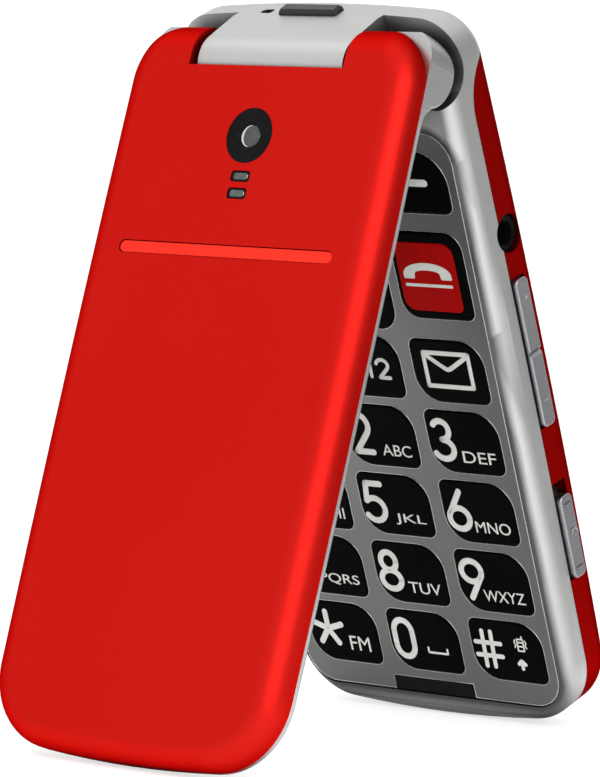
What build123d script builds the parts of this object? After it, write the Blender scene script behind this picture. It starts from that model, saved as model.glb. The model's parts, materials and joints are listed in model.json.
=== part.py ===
"""Flip phone with large keys: a lid and a keypad half on one hinge, standing open like a tent."""

import os
from math import acos, asin, atan2, cos, degrees, hypot, radians, sin, tan

from build123d import *

os.makedirs("parts", exist_ok=True)

# ---------------------------------------------------------------------------
# Driving dimensions, in millimetres and degrees. Each half is laid out in its
# own plane: X across, Y up towards the hinge, Z outwards from the gap between
# the halves on the lid, and towards that gap on the keypad half. The hinge axis
# is both planes' X axis, so depths and lengths are measured from it.
# ---------------------------------------------------------------------------
width = 53.0
side_bow = 0.4            # each long side is this much fuller half way down
opening = 38.15           # angle between the halves as the phone stands

# lid
lid_length = 104.0        # hinge axis to the free end
lid_face = 5.45           # outer face
lid_seam = 0.8            # cover meets the inner housing
lid_inside = -1.0         # inner face
cover_wall = 1.25
cover_round = 3.4
lid_edge_round = 1.6
lid_floor = 1.3           # floor of the inner housing
lid_foot_corner = 11.3    # plan corners of the lid
lid_head_corner = 10.0

# keypad half
base_length = 106.5
frame_face = -2.3
base_seam = -7.2          # silver frame meets the red rear housing
base_back = -13.8         # deepest point of the bowed back
back_bow = 0.7
frame_round = 2.8
back_round = 3.0
frame_wall = 2.1
rear_wall = 1.6
seam_gap = 0.1
seam_bend = 10.6          # the seam turns back across the head with this radius
seam_bend_at = 10.0       # from here on, below the hinge axis

# plan corners of the keypad half
foot_bow = 1.8
foot_corner = 9.8
head_corner = 7.0
head_bow = 1.2
head_reach = 6.0          # end face beyond the hinge axis

# hinge
barrel_radius = 4.75      # block in the middle, part of the frame
barrel_half = 13.5
ear_inner = 14.4          # inner wall of each ear of the lid
knuckle_radius = 5.5
knuckle_corner = 5.0      # plan corner of a knuckle
knuckle_edge = 0.7
end_tilt = 8.8            # end face, out of square with the keypad
barrel_clearance = 0.35   # lid around the block
notch_edge = 1.6          # lip of the cover over the block, below the axis
pin_radius = 2.3
pin_clearance = 0.05
pin_length = 14.0
pin_hold = 7.0            # length of a pin inside the block
pocket_back = -7.0
pocket_top = 7.0          # slope of the pocket starts here on the face
pocket_foot = 3.4         # and ends here at the back wall
pocket_round = 4.5

# keypad
plate_face = -2.55
plate_thick = 1.0
plate_half = width / 2 - 2.35
plate_top = 10.5
plate_bottom = base_length - 4.05
plate_corner = 5.0
plate_gap = 0.12
first_row = 48.06         # memory keys, then the four digit rows
last_row = plate_bottom - 8.83
column_pitch = 0.65135 * plate_half
row_pitch = (last_row - first_row) / 4
key_width = column_pitch - 2.63
key_height = row_pitch - 1.59
key_wide_corner = 4.2
key_tight_corner = 1.3
key_gap = 0.18            # between a key and the plate
key_depth = 1.65
key_crown = 0.22
flange_width = 0.42       # the rim that keeps a key behind the plate
flange_thick = 0.5
flange_gap = 0.06

# ---------------------------------------------------------------------------
# How the phone stands: the free ends are level, so the opening is shared
# between the halves by the lengths and roundings of their feet.
# ---------------------------------------------------------------------------
lid_foot = (lid_length - lid_edge_round, lid_inside + lid_edge_round)
base_foot = (base_length - frame_round, frame_face - frame_round)
level_cos = lid_foot[0] - base_foot[0] * cos(radians(opening)) - base_foot[1] * sin(radians(opening))
level_sin = -lid_foot[1] - base_foot[0] * sin(radians(opening)) + base_foot[1] * cos(radians(opening))
level_rest = frame_round - lid_edge_round
lean_split = acos(level_rest / hypot(level_cos, level_sin))
lid_lean = lean_split + atan2(level_sin, level_cos)
base_lean = radians(opening) - lid_lean

hinge_height = lid_foot[0] * cos(lid_lean) - lid_foot[1] * sin(lid_lean) + lid_edge_round
lid_reach = (
    (lid_length - cover_round) * sin(lid_lean)
    + (lid_face - cover_round) * cos(lid_lean)
    + cover_round
)
base_reach = (
    (base_length - back_round) * sin(base_lean)
    - (base_back + back_bow + back_round) * cos(base_lean)
    + back_round
)
hinge = Vector(0, (lid_reach - base_reach) / 2, hinge_height)

lid_plane = Plane(origin=hinge, x_dir=(1, 0, 0), z_dir=(0, -cos(lid_lean), sin(lid_lean)))
base_plane = Plane(origin=hinge, x_dir=(1, 0, 0), z_dir=(0, -cos(base_lean), -sin(base_lean)))

# ---------------------------------------------------------------------------
# Helpers: planes, outlines and the hand-out of finished pieces
# ---------------------------------------------------------------------------
far = 2 * width                              # longer than any cut needs


def axes_of(half):
    """The half's own directions across and outwards, for choosing edges and faces."""
    return Axis(half.origin, half.x_dir), Axis(half.origin, half.z_dir)


lid_across, lid_out = axes_of(lid_plane)
base_across, base_out = axes_of(base_plane)


def side_plane(half, across=0.0):
    """Plane of a side profile: X runs up the half and Y runs outwards."""
    return Plane(origin=half.from_local_coords((across, 0, 0)), x_dir=half.y_dir, z_dir=half.x_dir)


def outline(plane, foot, head, inset=0.0, bow=0.0, foot_round=foot_corner, head_round=0.0):
    """Plan outline of a half, from its free end at -foot up to +head."""
    side = width / 2 - inset
    end = side - side_bow
    top, bottom = head - inset, inset - foot
    with BuildSketch(plane) as sketch:
        with BuildLine():
            right = ThreePointArc((end, bottom + foot_bow), (side, (top + bottom) / 2), (end, top - bow))
            left = ThreePointArc((-end, top - bow), (-side, (top + bottom) / 2), (-end, bottom + foot_bow))
            ThreePointArc(left @ 1, (0, bottom), right @ 0)
            if bow:
                ThreePointArc(right @ 1, (0, top), left @ 0)
            else:
                Line(right @ 1, left @ 0)
        make_face()
        fillet(sketch.vertices().group_by(Axis.Y)[0], radius=foot_round - inset)
        if head_round > inset:
            fillet(sketch.vertices().group_by(Axis.Y)[-1], radius=head_round - inset)
    return sketch.sketch


def lid_outline(level, head, inset=0.0, head_round=0.0):
    """Plan outline of the lid at a level of its own plane."""
    level_plane = lid_plane.offset(level)
    return outline(level_plane, lid_length, head, inset, foot_round=lid_foot_corner, head_round=head_round)


def panel(plane, centre, across, along, corner=0.0):
    """Rounded rectangle."""
    with BuildSketch(plane) as sketch:
        with Locations(centre):
            if corner:
                RectangleRounded(across, along, corner)
            else:
                Rectangle(across, along)
    return sketch.sketch


def disc(plane, centre, radius):
    with BuildSketch(plane) as sketch:
        with Locations(centre):
            Circle(radius)
    return sketch.sketch


def profile(half, points, across=0.0):
    """Closed side profile through points given as (along Y, along Z)."""
    with BuildSketch(side_plane(half, across)) as sketch:
        with BuildLine():
            Polyline(*points, close=True)
        make_face()
    return sketch.sketch


def barrel(half, radius, start, length):
    """Solid cylinder on the hinge axis, from start along X."""
    with BuildPart(mode=Mode.PRIVATE) as rod:
        extrude(disc(side_plane(half, start), (0, 0), radius), amount=length)
    return rod.part


def slab(plane, centre, across, along, thick, corner=0.0):
    """Plain plate of a hidden piece, rising from its plane."""
    with BuildPart(mode=Mode.PRIVATE) as plate:
        extrude(panel(plane, centre, across, along, corner), amount=thick)
    return plate.part


def keep(piece, name):
    """Label a finished piece and write it."""
    piece.part.label = name
    export_step(piece.part, f"parts/{name}.step")


# ---------------------------------------------------------------------------
# Lid: red cover
# ---------------------------------------------------------------------------
ear_radius = lid_face                        # the cover runs on round the hinge
ear_drop = (ear_radius**2 - lid_seam**2) ** 0.5
trough_radius = barrel_radius + barrel_clearance
knuckle_room = ear_radius - cover_wall - 0.1
cover_ceiling = lid_face - cover_wall
lip_thick = 0.3                              # edge of the notch, tapered from below
lip_taper = 0.7
room_top = trough_radius + cover_wall + 0.3  # the lid's main room starts here

camera_at = 12.08
camera_ring_radius = 4.1
camera_ring_depth = 0.7
camera_hole = 3.0
indicator_at = (18.2, 20.77)
indicator_across = 3.4
indicator_along = 1.55
indicator_corner = 0.5
indicator_rim = (0.5, 0.35)                  # ledge under a window, across and along
indicator_depth = 0.6
bar_at = 29.45
bar_length = 39.6
bar_width = 1.85
bar_depth = 0.45
trim_gap = 0.06


def ear_core(radius, wall):
    """Round room in both ears of the lid, or with a thicker wall what fills it."""
    span = width / 2 - side_bow - ear_inner - 2 * wall
    with BuildPart(mode=Mode.PRIVATE) as core:
        for start in (ear_inner + wall, -ear_inner - wall - span):
            add(barrel(lid_plane, radius, start, span))
            neck = profile(
                lid_plane,
                [(-room_top - 1, lid_seam), (-room_top - 1, cover_ceiling), (0, radius), (0, lid_seam)],
                start,
            )
            extrude(neck, amount=span)
        extrude(
            lid_outline(-lid_face, head_reach, inset=wall, head_round=lid_head_corner),
            amount=2 * lid_face,
            mode=Mode.INTERSECT,
        )
    return core.part


with BuildPart() as lid_cover:
    with BuildSketch(side_plane(lid_plane, -far / 2)):
        with BuildLine():
            face_line = Line((-lid_length - 1, lid_face), (0, lid_face))
            ear = RadiusArc(face_line @ 1, (ear_drop, lid_seam), ear_radius)
            Polyline(ear @ 1, (-lid_length - 1, lid_seam), face_line @ 0)
        make_face()
    extrude(amount=far)
    extrude(lid_outline(0, head_reach, head_round=lid_head_corner), amount=lid_face + 1, mode=Mode.INTERSECT)
    rim = lid_cover.edges().filter_by_position(lid_out, lid_seam + 0.05, lid_face + 0.05)
    fillet(rim.filter_by(lid_out, reverse=True).filter_by(lid_across, reverse=True), radius=cover_round)
    # the main room, the room for each knuckle and its neck
    extrude(
        lid_outline(lid_seam, cover_wall - room_top, inset=cover_wall),
        amount=cover_ceiling - lid_seam,
        mode=Mode.SUBTRACT,
    )
    add(ear_core(knuckle_room, cover_wall), mode=Mode.SUBTRACT)
    # the notch that wraps the block of the keypad half, with its thin lip
    extrude(
        panel(lid_plane, (0, head_reach - notch_edge), 2 * ear_inner, 2 * head_reach),
        amount=far,
        mode=Mode.SUBTRACT,
    )
    add(barrel(lid_plane, trough_radius, -ear_inner, 2 * ear_inner), mode=Mode.SUBTRACT)
    underside = profile(
        lid_plane,
        [
            (-notch_edge, lid_face - lip_thick),
            (-notch_edge - lip_taper, trough_radius - lip_taper),
            (-notch_edge, trough_radius - lip_taper),
        ],
        -ear_inner,
    )
    extrude(underside, amount=2 * ear_inner, mode=Mode.SUBTRACT)
    pin_way = pin_radius + barrel_clearance
    add(barrel(lid_plane, pin_way, -width / 3, 2 * width / 3), mode=Mode.SUBTRACT)
    # seats of the camera ring, the two indicator windows and the bar
    extrude(
        disc(lid_plane.offset(lid_face), (0, -camera_at), camera_ring_radius + trim_gap),
        amount=-camera_ring_depth,
        mode=Mode.SUBTRACT,
    )
    extrude(disc(lid_plane, (0, -camera_at), camera_hole), amount=far, mode=Mode.SUBTRACT)
    for depth_down in indicator_at:
        seat_size = (indicator_across + 2 * trim_gap, indicator_along + 2 * trim_gap)
        hole_size = (indicator_across - 2 * indicator_rim[0], indicator_along - 2 * indicator_rim[1])
        extrude(
            panel(lid_plane.offset(lid_face), (0, -depth_down), *seat_size, indicator_corner),
            amount=-indicator_depth,
            mode=Mode.SUBTRACT,
        )
        extrude(panel(lid_plane, (0, -depth_down), *hole_size), amount=far, mode=Mode.SUBTRACT)
    extrude(
        panel(
            lid_plane.offset(lid_face),
            (0, -bar_at),
            bar_length + 2 * trim_gap,
            bar_width + 2 * trim_gap,
            bar_width / 2,
        ),
        amount=-bar_depth - trim_gap,
        mode=Mode.SUBTRACT,
    )
keep(lid_cover, "lid_cover")

# trim on the cover: bar, camera ring with its lens, indicator windows
bar_sunk = 0.12
ring_sunk = 0.05
lens_radius = 1.7
lens_thick = 0.35
lens_cone = 0.35                             # slanted mouth round the lens
trim_round = 0.15
stadium_trim = 0.01                          # keeps a fully rounded end short of half its width

with BuildPart() as trim_bar:
    bar_plane = lid_plane.offset(lid_face - bar_depth)
    extrude(
        panel(bar_plane, (0, -bar_at), bar_length, bar_width, bar_width / 2 - stadium_trim),
        amount=bar_depth - bar_sunk,
    )
    fillet(trim_bar.faces().sort_by(lid_out)[-1].edges(), radius=trim_round)
keep(trim_bar, "trim_bar")

with BuildPart() as camera_ring:
    extrude(
        disc(lid_plane.offset(lid_face - camera_ring_depth), (0, -camera_at), camera_ring_radius),
        amount=camera_ring_depth - ring_sunk,
    )
    with BuildSketch(lid_plane.offset(lid_face - ring_sunk)) as mouth:
        with Locations((0, -camera_at)):
            Circle(lens_radius + lens_cone)
    with BuildSketch(lid_plane.offset(lid_face - ring_sunk - lens_cone)) as throat:
        with Locations((0, -camera_at)):
            Circle(lens_radius + trim_gap)
    loft(sections=[mouth.sketch, throat.sketch], mode=Mode.SUBTRACT)
    extrude(
        disc(lid_plane.offset(lid_face), (0, -camera_at), lens_radius + trim_gap),
        amount=-2 * camera_ring_depth,
        mode=Mode.SUBTRACT,
    )
keep(camera_ring, "camera_ring")

with BuildPart() as camera_lens:
    lens_back = lid_face - camera_ring_depth
    extrude(disc(lid_plane.offset(lens_back), (0, -camera_at), lens_radius), amount=lens_thick)
    chamfer(camera_lens.edges().group_by(lid_out)[-1], length=0.1)
keep(camera_lens, "camera_lens")

for place, depth_down in zip(("upper", "lower"), indicator_at):
    with BuildPart() as indicator_window:
        seat = lid_plane.offset(lid_face - indicator_depth)
        extrude(
            panel(seat, (0, -depth_down), indicator_across, indicator_along, indicator_corner - trim_gap),
            amount=indicator_depth - ring_sunk,
        )
        fillet(indicator_window.faces().sort_by(lid_out)[-1].edges(), radius=trim_round)
    keep(indicator_window, f"indicator_window_{place}")

# ---------------------------------------------------------------------------
# Lid: silver inner housing with the two knuckles
# ---------------------------------------------------------------------------
knuckle_slope = 45                           # neck of a knuckle, from the inner face
slope_round = 3.0
tongue_gap = 0.1                             # rim that plugs into the cover
tongue_thick = 0.9
tongue_height = 1.6
window_across = width - 9.0
window_top = 21.0                            # window, from the hinge axis
window_bottom = lid_length - 18.0
window_corner = 2.5
window_thick = 0.8
window_ledge = 1.2
window_back_corner = 1.0
earpiece_at = lid_length - 9.0
slot_across = 12.0                           # slot of the earpiece
slot_along = 1.6
mesh_rim = 0.45
mesh_thick = 0.35
bumper_aside = width / 2 - 12.5
bumper_at = lid_length - 3.8                  # they land on the plate, below the last keys
bumper_across = 5.0
bumper_along = 2.2
bumper_seat = 0.4
lid_shut_gap = 0.1                           # bumpers to keypad when shut

window_centre = (0, -(window_top + window_bottom) / 2)
window_along = window_bottom - window_top
floor_top = lid_inside + lid_floor
tangent_at = knuckle_radius * sin(radians(knuckle_slope))
slope_foot = tangent_at + (tangent_at + lid_inside) / tan(radians(knuckle_slope))
knuckle_top = (knuckle_radius**2 - lid_seam**2) ** 0.5
inner_wall = cover_wall + tongue_gap
mesh_across = slot_across + 2 * mesh_rim
mesh_along = slot_along + 2 * mesh_rim


def lid_panel(level, centre, size, corner):
    """Rounded rectangle at a level of the lid."""
    return panel(lid_plane.offset(level), centre, *size, corner)


def housing_plan():
    """Plan of the inner housing, from under its knuckles."""
    return lid_outline(-2 * knuckle_radius, head_reach, head_round=knuckle_corner)


def knuckle_end(side):
    """Outer end of a knuckle behind the seam, with its rim rounded."""
    reach = sorted((side * (ear_inner + trim_gap), side * far))
    with BuildPart(mode=Mode.PRIVATE) as end:
        add(barrel(lid_plane, knuckle_radius, side * ear_inner, side * width))
        extrude(housing_plan(), amount=4 * knuckle_radius, mode=Mode.INTERSECT)
        rim = end.edges().filter_by(GeomType.LINE, reverse=True).filter_by_position(lid_across, *reach)
        fillet(rim, radius=knuckle_edge)
        extrude(
            panel(lid_plane.offset(lid_seam), (0, 0), far, far),
            amount=2 * knuckle_radius,
            mode=Mode.SUBTRACT,
        )
    return end.part


with BuildPart() as lid_housing:
    # tray and knuckles in one side profile, trimmed to the plan of the lid
    with BuildSketch(side_plane(lid_plane, -far / 2)) as housing_side:
        with BuildLine():
            seam_line = Line((-lid_length - 1, lid_seam), (knuckle_top, lid_seam))
            knuckle_arc = ThreePointArc(seam_line @ 1, (0, -knuckle_radius), (-tangent_at, -tangent_at))
            Polyline(knuckle_arc @ 1, (-slope_foot, lid_inside), (-lid_length - 1, lid_inside), seam_line @ 0)
        make_face()
        fillet(housing_side.vertices().sort_by_distance((-slope_foot, lid_inside))[0], radius=slope_round)
    extrude(amount=far)
    extrude(housing_plan(), amount=4 * knuckle_radius, mode=Mode.INTERSECT)
    rim = lid_housing.edges().filter_by_position(lid_out, -far, lid_seam - 0.01)
    fillet(rim.filter_by(lid_out, reverse=True).filter_by(lid_across, reverse=True), radius=lid_edge_round)
    for side in (-1, 1):
        add(knuckle_end(side))
    # gap between the knuckles, for the block of the keypad half
    extrude(
        panel(lid_plane.offset(lid_inside), (0, 0), 2 * ear_inner, 4 * knuckle_radius),
        amount=-2 * knuckle_radius,
        mode=Mode.SUBTRACT,
    )
    extrude(
        panel(lid_plane.offset(lid_inside), (0, head_reach), 2 * ear_inner, 2 * head_reach),
        amount=lid_seam - lid_inside,
        mode=Mode.SUBTRACT,
    )
    add(barrel(lid_plane, trough_radius, -ear_inner, 2 * ear_inner), mode=Mode.SUBTRACT)
    # rim that plugs into the cover, and the hollow above the floor
    extrude(lid_outline(lid_seam, cover_wall - room_top, inset=inner_wall), amount=tongue_height)
    extrude(
        lid_outline(floor_top, cover_wall - room_top, inset=inner_wall + tongue_thick),
        amount=lid_face,
        mode=Mode.SUBTRACT,
    )
    # upper halves of the knuckles inside the ears, then the bores of the pins
    knuckle_span = width / 2 - side_bow - ear_inner - 2 * inner_wall
    with BuildPart(mode=Mode.PRIVATE) as knuckle_cores:
        for start in (ear_inner + inner_wall, -ear_inner - inner_wall - knuckle_span):
            add(barrel(lid_plane, knuckle_room - tongue_gap, start, knuckle_span))
        extrude(
            lid_outline(-lid_face, head_reach, inset=inner_wall, head_round=lid_head_corner),
            amount=2 * lid_face,
            mode=Mode.INTERSECT,
        )
    add(knuckle_cores.part)
    bore_half = pin_length - pin_hold + barrel_half + tongue_gap
    add(barrel(lid_plane, pin_radius + pin_clearance, -bore_half, 2 * bore_half), mode=Mode.SUBTRACT)
    # seat of the window with its ledge, the earpiece and the bumpers
    seat_size = (window_across + 2 * trim_gap, window_along + 2 * trim_gap)
    extrude(
        lid_panel(lid_inside, window_centre, seat_size, window_corner),
        amount=window_thick,
        mode=Mode.SUBTRACT,
    )
    hole_size = (window_across - 2 * window_ledge, window_along - 2 * window_ledge)
    extrude(
        lid_panel(lid_inside, window_centre, hole_size, window_back_corner),
        amount=lid_floor,
        mode=Mode.SUBTRACT,
    )
    extrude(
        lid_panel(lid_inside, (0, -earpiece_at), (slot_across, slot_along), slot_along / 2 - stadium_trim),
        amount=lid_floor,
        mode=Mode.SUBTRACT,
    )
    extrude(
        lid_panel(lid_inside, (0, -earpiece_at), (mesh_across, mesh_along), mesh_along / 2 - stadium_trim),
        amount=mesh_thick + trim_gap,
        mode=Mode.SUBTRACT,
    )
    for side in (-1, 1):
        bumper_spot = (side * bumper_aside, -bumper_at)
        bumper_seat_corner = bumper_along / 2 - stadium_trim
        extrude(
            lid_panel(lid_inside, bumper_spot, (bumper_across, bumper_along), bumper_seat_corner),
            amount=bumper_seat,
            mode=Mode.SUBTRACT,
        )
keep(lid_housing, "lid_housing")

# ---------------------------------------------------------------------------
# Lid: what it holds
# ---------------------------------------------------------------------------
display_size = (window_across - 2, window_along - 5)
display_thick = 2.15
display_gap = 0.15
lid_board_size = (window_across - 4, window_along + 5)
lid_board_thick = 0.8
lid_board_corner = 2.0
module_corner = 0.8
camera_body = 8.0
camera_thick = 2.6
camera_nose = 0.4                            # its lens barrel reaches into the cover
camera_nose_gap = 0.36
earpiece_size = (12.0, 6.0)
earpiece_corner = 2.4
earpiece_thick = 2.5
bumper_round = 0.35
window_chamfer = 0.15

with BuildPart() as display_window:
    extrude(
        lid_panel(lid_inside, window_centre, (window_across, window_along), window_corner),
        amount=window_thick - trim_gap,
    )
    chamfer(display_window.edges().group_by(lid_out)[0], length=window_chamfer)
keep(display_window, "display_window")

with BuildPart() as earpiece_mesh:
    mesh_size = (mesh_across - 2 * trim_gap, mesh_along - 2 * trim_gap)
    mesh_corner = mesh_size[1] / 2 - stadium_trim
    mesh_level = lid_inside + trim_gap / 2
    extrude(lid_panel(mesh_level, (0, -earpiece_at), mesh_size, mesh_corner), amount=mesh_thick)
keep(earpiece_mesh, "earpiece_mesh")

with BuildPart() as display_module:
    display_plane = lid_plane.offset(floor_top + display_gap)
    add(slab(display_plane, window_centre, *display_size, display_thick, module_corner))
keep(display_module, "display_module")

board_level = floor_top + display_gap + display_thick + display_gap
with BuildPart() as lid_board:
    lid_board_plane = lid_plane.offset(board_level)
    add(slab(lid_board_plane, window_centre, *lid_board_size, lid_board_thick, lid_board_corner))
keep(lid_board, "lid_board")

with BuildPart() as camera_module:
    camera_base = lid_plane.offset(cover_ceiling - tongue_gap)
    add(slab(camera_base, (0, -camera_at), camera_body, camera_body, -camera_thick, module_corner))
    extrude(disc(camera_base, (0, -camera_at), camera_hole - camera_nose_gap), amount=camera_nose)
keep(camera_module, "camera_module")

with BuildPart() as earpiece_speaker:
    earpiece_base = lid_plane.offset(floor_top + trim_gap)
    add(slab(earpiece_base, (0, -earpiece_at), *earpiece_size, earpiece_thick, earpiece_corner))
keep(earpiece_speaker, "earpiece_speaker")

bumper_proud = lid_inside - plate_face - lid_shut_gap
with BuildPart() as lid_bumpers:
    foot_size = (bumper_across - 2 * trim_gap, bumper_along - 2 * trim_gap)
    bumper_corner = foot_size[1] / 2 - stadium_trim
    for side in (-1, 1):
        bumper_spot = (side * bumper_aside, -bumper_at)
        extrude(
            lid_panel(lid_inside + bumper_seat, bumper_spot, foot_size, bumper_corner),
            amount=-bumper_seat - bumper_proud,
        )
    fillet(lid_bumpers.edges().group_by(lid_out)[0], radius=bumper_round)
keep(lid_bumpers, "lid_bumpers")

# ---------------------------------------------------------------------------
# Keypad half: the outer form shared by the silver frame and the red housing
# ---------------------------------------------------------------------------
back_ends = base_back + back_bow
end_foot = (barrel_radius * cos(radians(end_tilt)), barrel_radius * sin(radians(end_tilt)))


def end_reach(depth):
    """How far the slanted end face reaches beyond the hinge axis at a depth."""
    return end_foot[0] + (end_foot[1] - depth) * tan(radians(end_tilt))


with BuildPart() as base_form:
    with BuildSketch(side_plane(base_plane, -far / 2)):
        with BuildLine():
            front = Line((-base_length - 1, frame_face), (head_reach + 1, frame_face))
            back = ThreePointArc(
                (head_reach + 1, back_ends),
                ((head_reach - base_length) / 2, base_back),
                (-base_length - 1, back_ends),
            )
            Line(front @ 1, back @ 0)
            Line(back @ 1, front @ 0)
        make_face()
    extrude(amount=far)
    extrude(
        outline(
            base_plane.offset(base_back - 1),
            base_length,
            head_reach,
            bow=head_bow,
            head_round=head_corner,
        ),
        amount=frame_face - base_back + 2,
        mode=Mode.INTERSECT,
    )
    fillet(base_form.faces().sort_by(base_out)[-1].edges(), radius=frame_round)
    fillet(base_form.faces().sort_by(base_out)[0].edges(), radius=back_round)
    # slanted end face
    beyond = profile(
        base_plane,
        [end_foot, (end_reach(base_back - 1), base_back - 1), (far, base_back - 1), (far, end_foot[1])],
        -far / 2,
    )
    extrude(beyond, amount=far, mode=Mode.SUBTRACT)

bend_centre = (-seam_bend_at, base_seam - seam_bend)
bend_sweep = 90 - degrees(asin((base_back - 1 - bend_centre[1]) / seam_bend))


def behind_seam(gap=0.0):
    """Side profile of all that lies behind the seam between frame and housing."""
    with BuildSketch(side_plane(base_plane, -far / 2)) as sketch:
        with BuildLine():
            flat = Line((-base_length - far, base_seam - gap), (-seam_bend_at, base_seam - gap))
            bend = CenterArc(bend_centre, seam_bend - gap, 90, -bend_sweep)
            Polyline(bend @ 1, (-base_length - far, base_back - far), flat @ 0)
        make_face()
    return sketch.sketch


# ---------------------------------------------------------------------------
# Keypad half: silver front frame with the hinge block
# ---------------------------------------------------------------------------
plate_centre = (0, -(plate_top + plate_bottom) / 2)
plate_along = plate_bottom - plate_top
ledge_lap = 1.0                              # ledge under the edge of the plate
ledge_half = plate_half - ledge_lap
ledge_back = -4.4
room_head = pocket_top + 1.6
jack_at = 28.4
jack_depth = -9.25
jack_recess = 2.9
hollow_across = width - 17                   # hollow of the head, behind the pockets
hollow_front = -8.3
hollow_back = -12.0
hollow_head = 3.2
lens_across = 10.8
lens_along = 2.4
lens_corner = 0.5
lens_depth = -7.2
lens_proud = 0.8
lens_seat = 2.0
eyelet_at = -8.2
eyelet_size = (2.2, 1.4)
eyelet_corner = 0.6
eyelet_depth = 3.4
usb_at = 30.0
usb_depth = -7.6
usb_along = 7.6
usb_high = 2.6
usb_clear = 0.3
usb_corner = 0.8
pin_fit = 0.02                               # pins held in the block

end_plane = Plane(
    origin=base_plane.from_local_coords((0, end_reach(lens_depth), lens_depth)),
    x_dir=base_plane.x_dir,
    z_dir=base_plane.y_dir * cos(radians(end_tilt)) + base_plane.z_dir * sin(radians(end_tilt)),
)


def usb_mouth():
    """Way through the left wall for the charging plug."""
    return panel(
        side_plane(base_plane, frame_wall + 1 - width / 2),
        (-usb_at, usb_depth),
        usb_along + 2 * usb_clear,
        usb_high + 2 * usb_clear,
        usb_corner + usb_clear,
    )


with BuildPart() as front_frame:
    add(base_form.part)
    # pockets that the knuckles turn in
    pocket_slope = (pocket_top - pocket_foot) / (frame_face - pocket_back)
    pocket_mouth = -pocket_top + pocket_slope * frame_face
    for start in (barrel_half, -barrel_half - far / 2):
        with BuildSketch(side_plane(base_plane, start)) as pocket_side:
            with BuildLine():
                Polyline(
                    (-pocket_foot, pocket_back),
                    (far / 2, pocket_back),
                    (far / 2, 0),
                    (pocket_mouth, 0),
                    close=True,
                )
            make_face()
            pocket_corner = pocket_side.vertices().sort_by_distance((-pocket_foot, pocket_back))[0]
            fillet(pocket_corner, radius=pocket_round)
        extrude(amount=far / 2, mode=Mode.SUBTRACT)
    # block between the knuckles, with the bores that hold the pins
    add(barrel(base_plane, barrel_radius, -barrel_half, 2 * barrel_half))
    block_depth = frame_face - frame_round - trim_gap
    block_fill = profile(
        base_plane,
        [(0, 0), end_foot, (end_reach(block_depth), block_depth), (0, block_depth)],
        -barrel_half,
    )
    extrude(block_fill, amount=2 * barrel_half)
    for start in (barrel_half - pin_hold, -barrel_half - 1):
        add(barrel(base_plane, pin_radius + pin_fit, start, pin_hold + 1), mode=Mode.SUBTRACT)
    # everything behind the seam belongs to the rear housing
    extrude(behind_seam(), amount=far, mode=Mode.SUBTRACT)
    # opening and ledge for the keypad, and the room for the boards
    extrude(
        panel(
            base_plane.offset(plate_face - plate_thick - trim_gap),
            plate_centre,
            2 * (plate_half + plate_gap),
            plate_along + 2 * plate_gap,
            plate_corner + plate_gap,
        ),
        amount=far / 10,
        mode=Mode.SUBTRACT,
    )
    ledge_size = (2 * ledge_half, plate_along - 2 * ledge_lap)
    extrude(
        panel(base_plane.offset(base_back), plate_centre, *ledge_size, plate_corner - ledge_lap),
        amount=-base_back,
        mode=Mode.SUBTRACT,
    )
    extrude(
        outline(base_plane.offset(base_back), base_length, -room_head + frame_wall, inset=frame_wall),
        amount=ledge_back - base_back,
        mode=Mode.SUBTRACT,
    )
    head_hollow = profile(
        base_plane,
        [
            (-room_head - 1, hollow_front),
            (hollow_head, hollow_front),
            (hollow_head, hollow_back),
            (-room_head - 1, hollow_back),
        ],
        -hollow_across / 2,
    )
    extrude(head_hollow, amount=hollow_across, mode=Mode.SUBTRACT)
    # recess round the jack, seat of the torch lens and the lanyard eyelet
    extrude(
        disc(side_plane(base_plane, width / 2 - frame_wall - 1), (-jack_at, jack_depth), jack_recess),
        amount=far,
        mode=Mode.SUBTRACT,
    )
    extrude(usb_mouth(), amount=-far, mode=Mode.SUBTRACT)
    extrude(
        panel(end_plane, (0, 0), lens_across + 2 * trim_gap, lens_along + 2 * trim_gap, lens_corner),
        amount=-lens_seat - trim_gap,
        mode=Mode.SUBTRACT,
    )
    extrude(
        panel(end_plane.offset(1), (eyelet_at, 0), *eyelet_size, eyelet_corner),
        amount=-1 - eyelet_depth,
        mode=Mode.SUBTRACT,
    )
    extrude(
        panel(
            base_plane.offset(base_back - 1),
            (eyelet_at, end_reach(lens_depth) - eyelet_depth + eyelet_size[1] / 2),
            *eyelet_size,
            eyelet_corner,
        ),
        amount=lens_depth - base_back + 1,
        mode=Mode.SUBTRACT,
    )
keep(front_frame, "front_frame")

# ---------------------------------------------------------------------------
# Keypad half: red rear housing and battery cover
# ---------------------------------------------------------------------------
housing_head = 5.0                           # room of the housing starts here
room_floor = -11.2
bay_across = width - 14.0                    # battery bay
bay_top = 38.0
bay_bottom = base_length - 11.5
bay_wall = 1.2
bay_corner = 1.2
deck_thick = 0.8
cover_side = 3.2                             # battery cover in from the sides
cover_top = 26.0
cover_bottom = base_length - 5.5
cover_corner = 6.5
cover_thick = 1.25
cover_gap = 0.12
cover_edge = 0.35
notch_radius = 5.0                           # nail notch of the battery cover
notch_at = cover_top - 3.2
speaker_at = 15.5
speaker_across = 15.0
speaker_along = 11.0
speaker_corner = 2.8
speaker_gap = 0.2
speaker_thick = 3.4
grille_slots = 5
grille_pitch = 1.9
grille_slot = (9.0, 0.9)
rocker_top = 35.3
rocker_bottom = 58.6
rocker_front = -7.55
rocker_back = -10.4
rocker_proud = 0.75
rocker_notch = 0.5
slider_top = 69.9
slider_bottom = 83.1
slider_travel = 1.9
slider_proud = 0.85
side_gap = 0.15                              # round a side key in its slot
sim_aside = 8.0                              # SIM holder, left of the middle line
sim_at = 58.0
sim_across = 14.0
sim_along = 16.0
sim_rim = 1.0
sim_corner = 0.6

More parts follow.
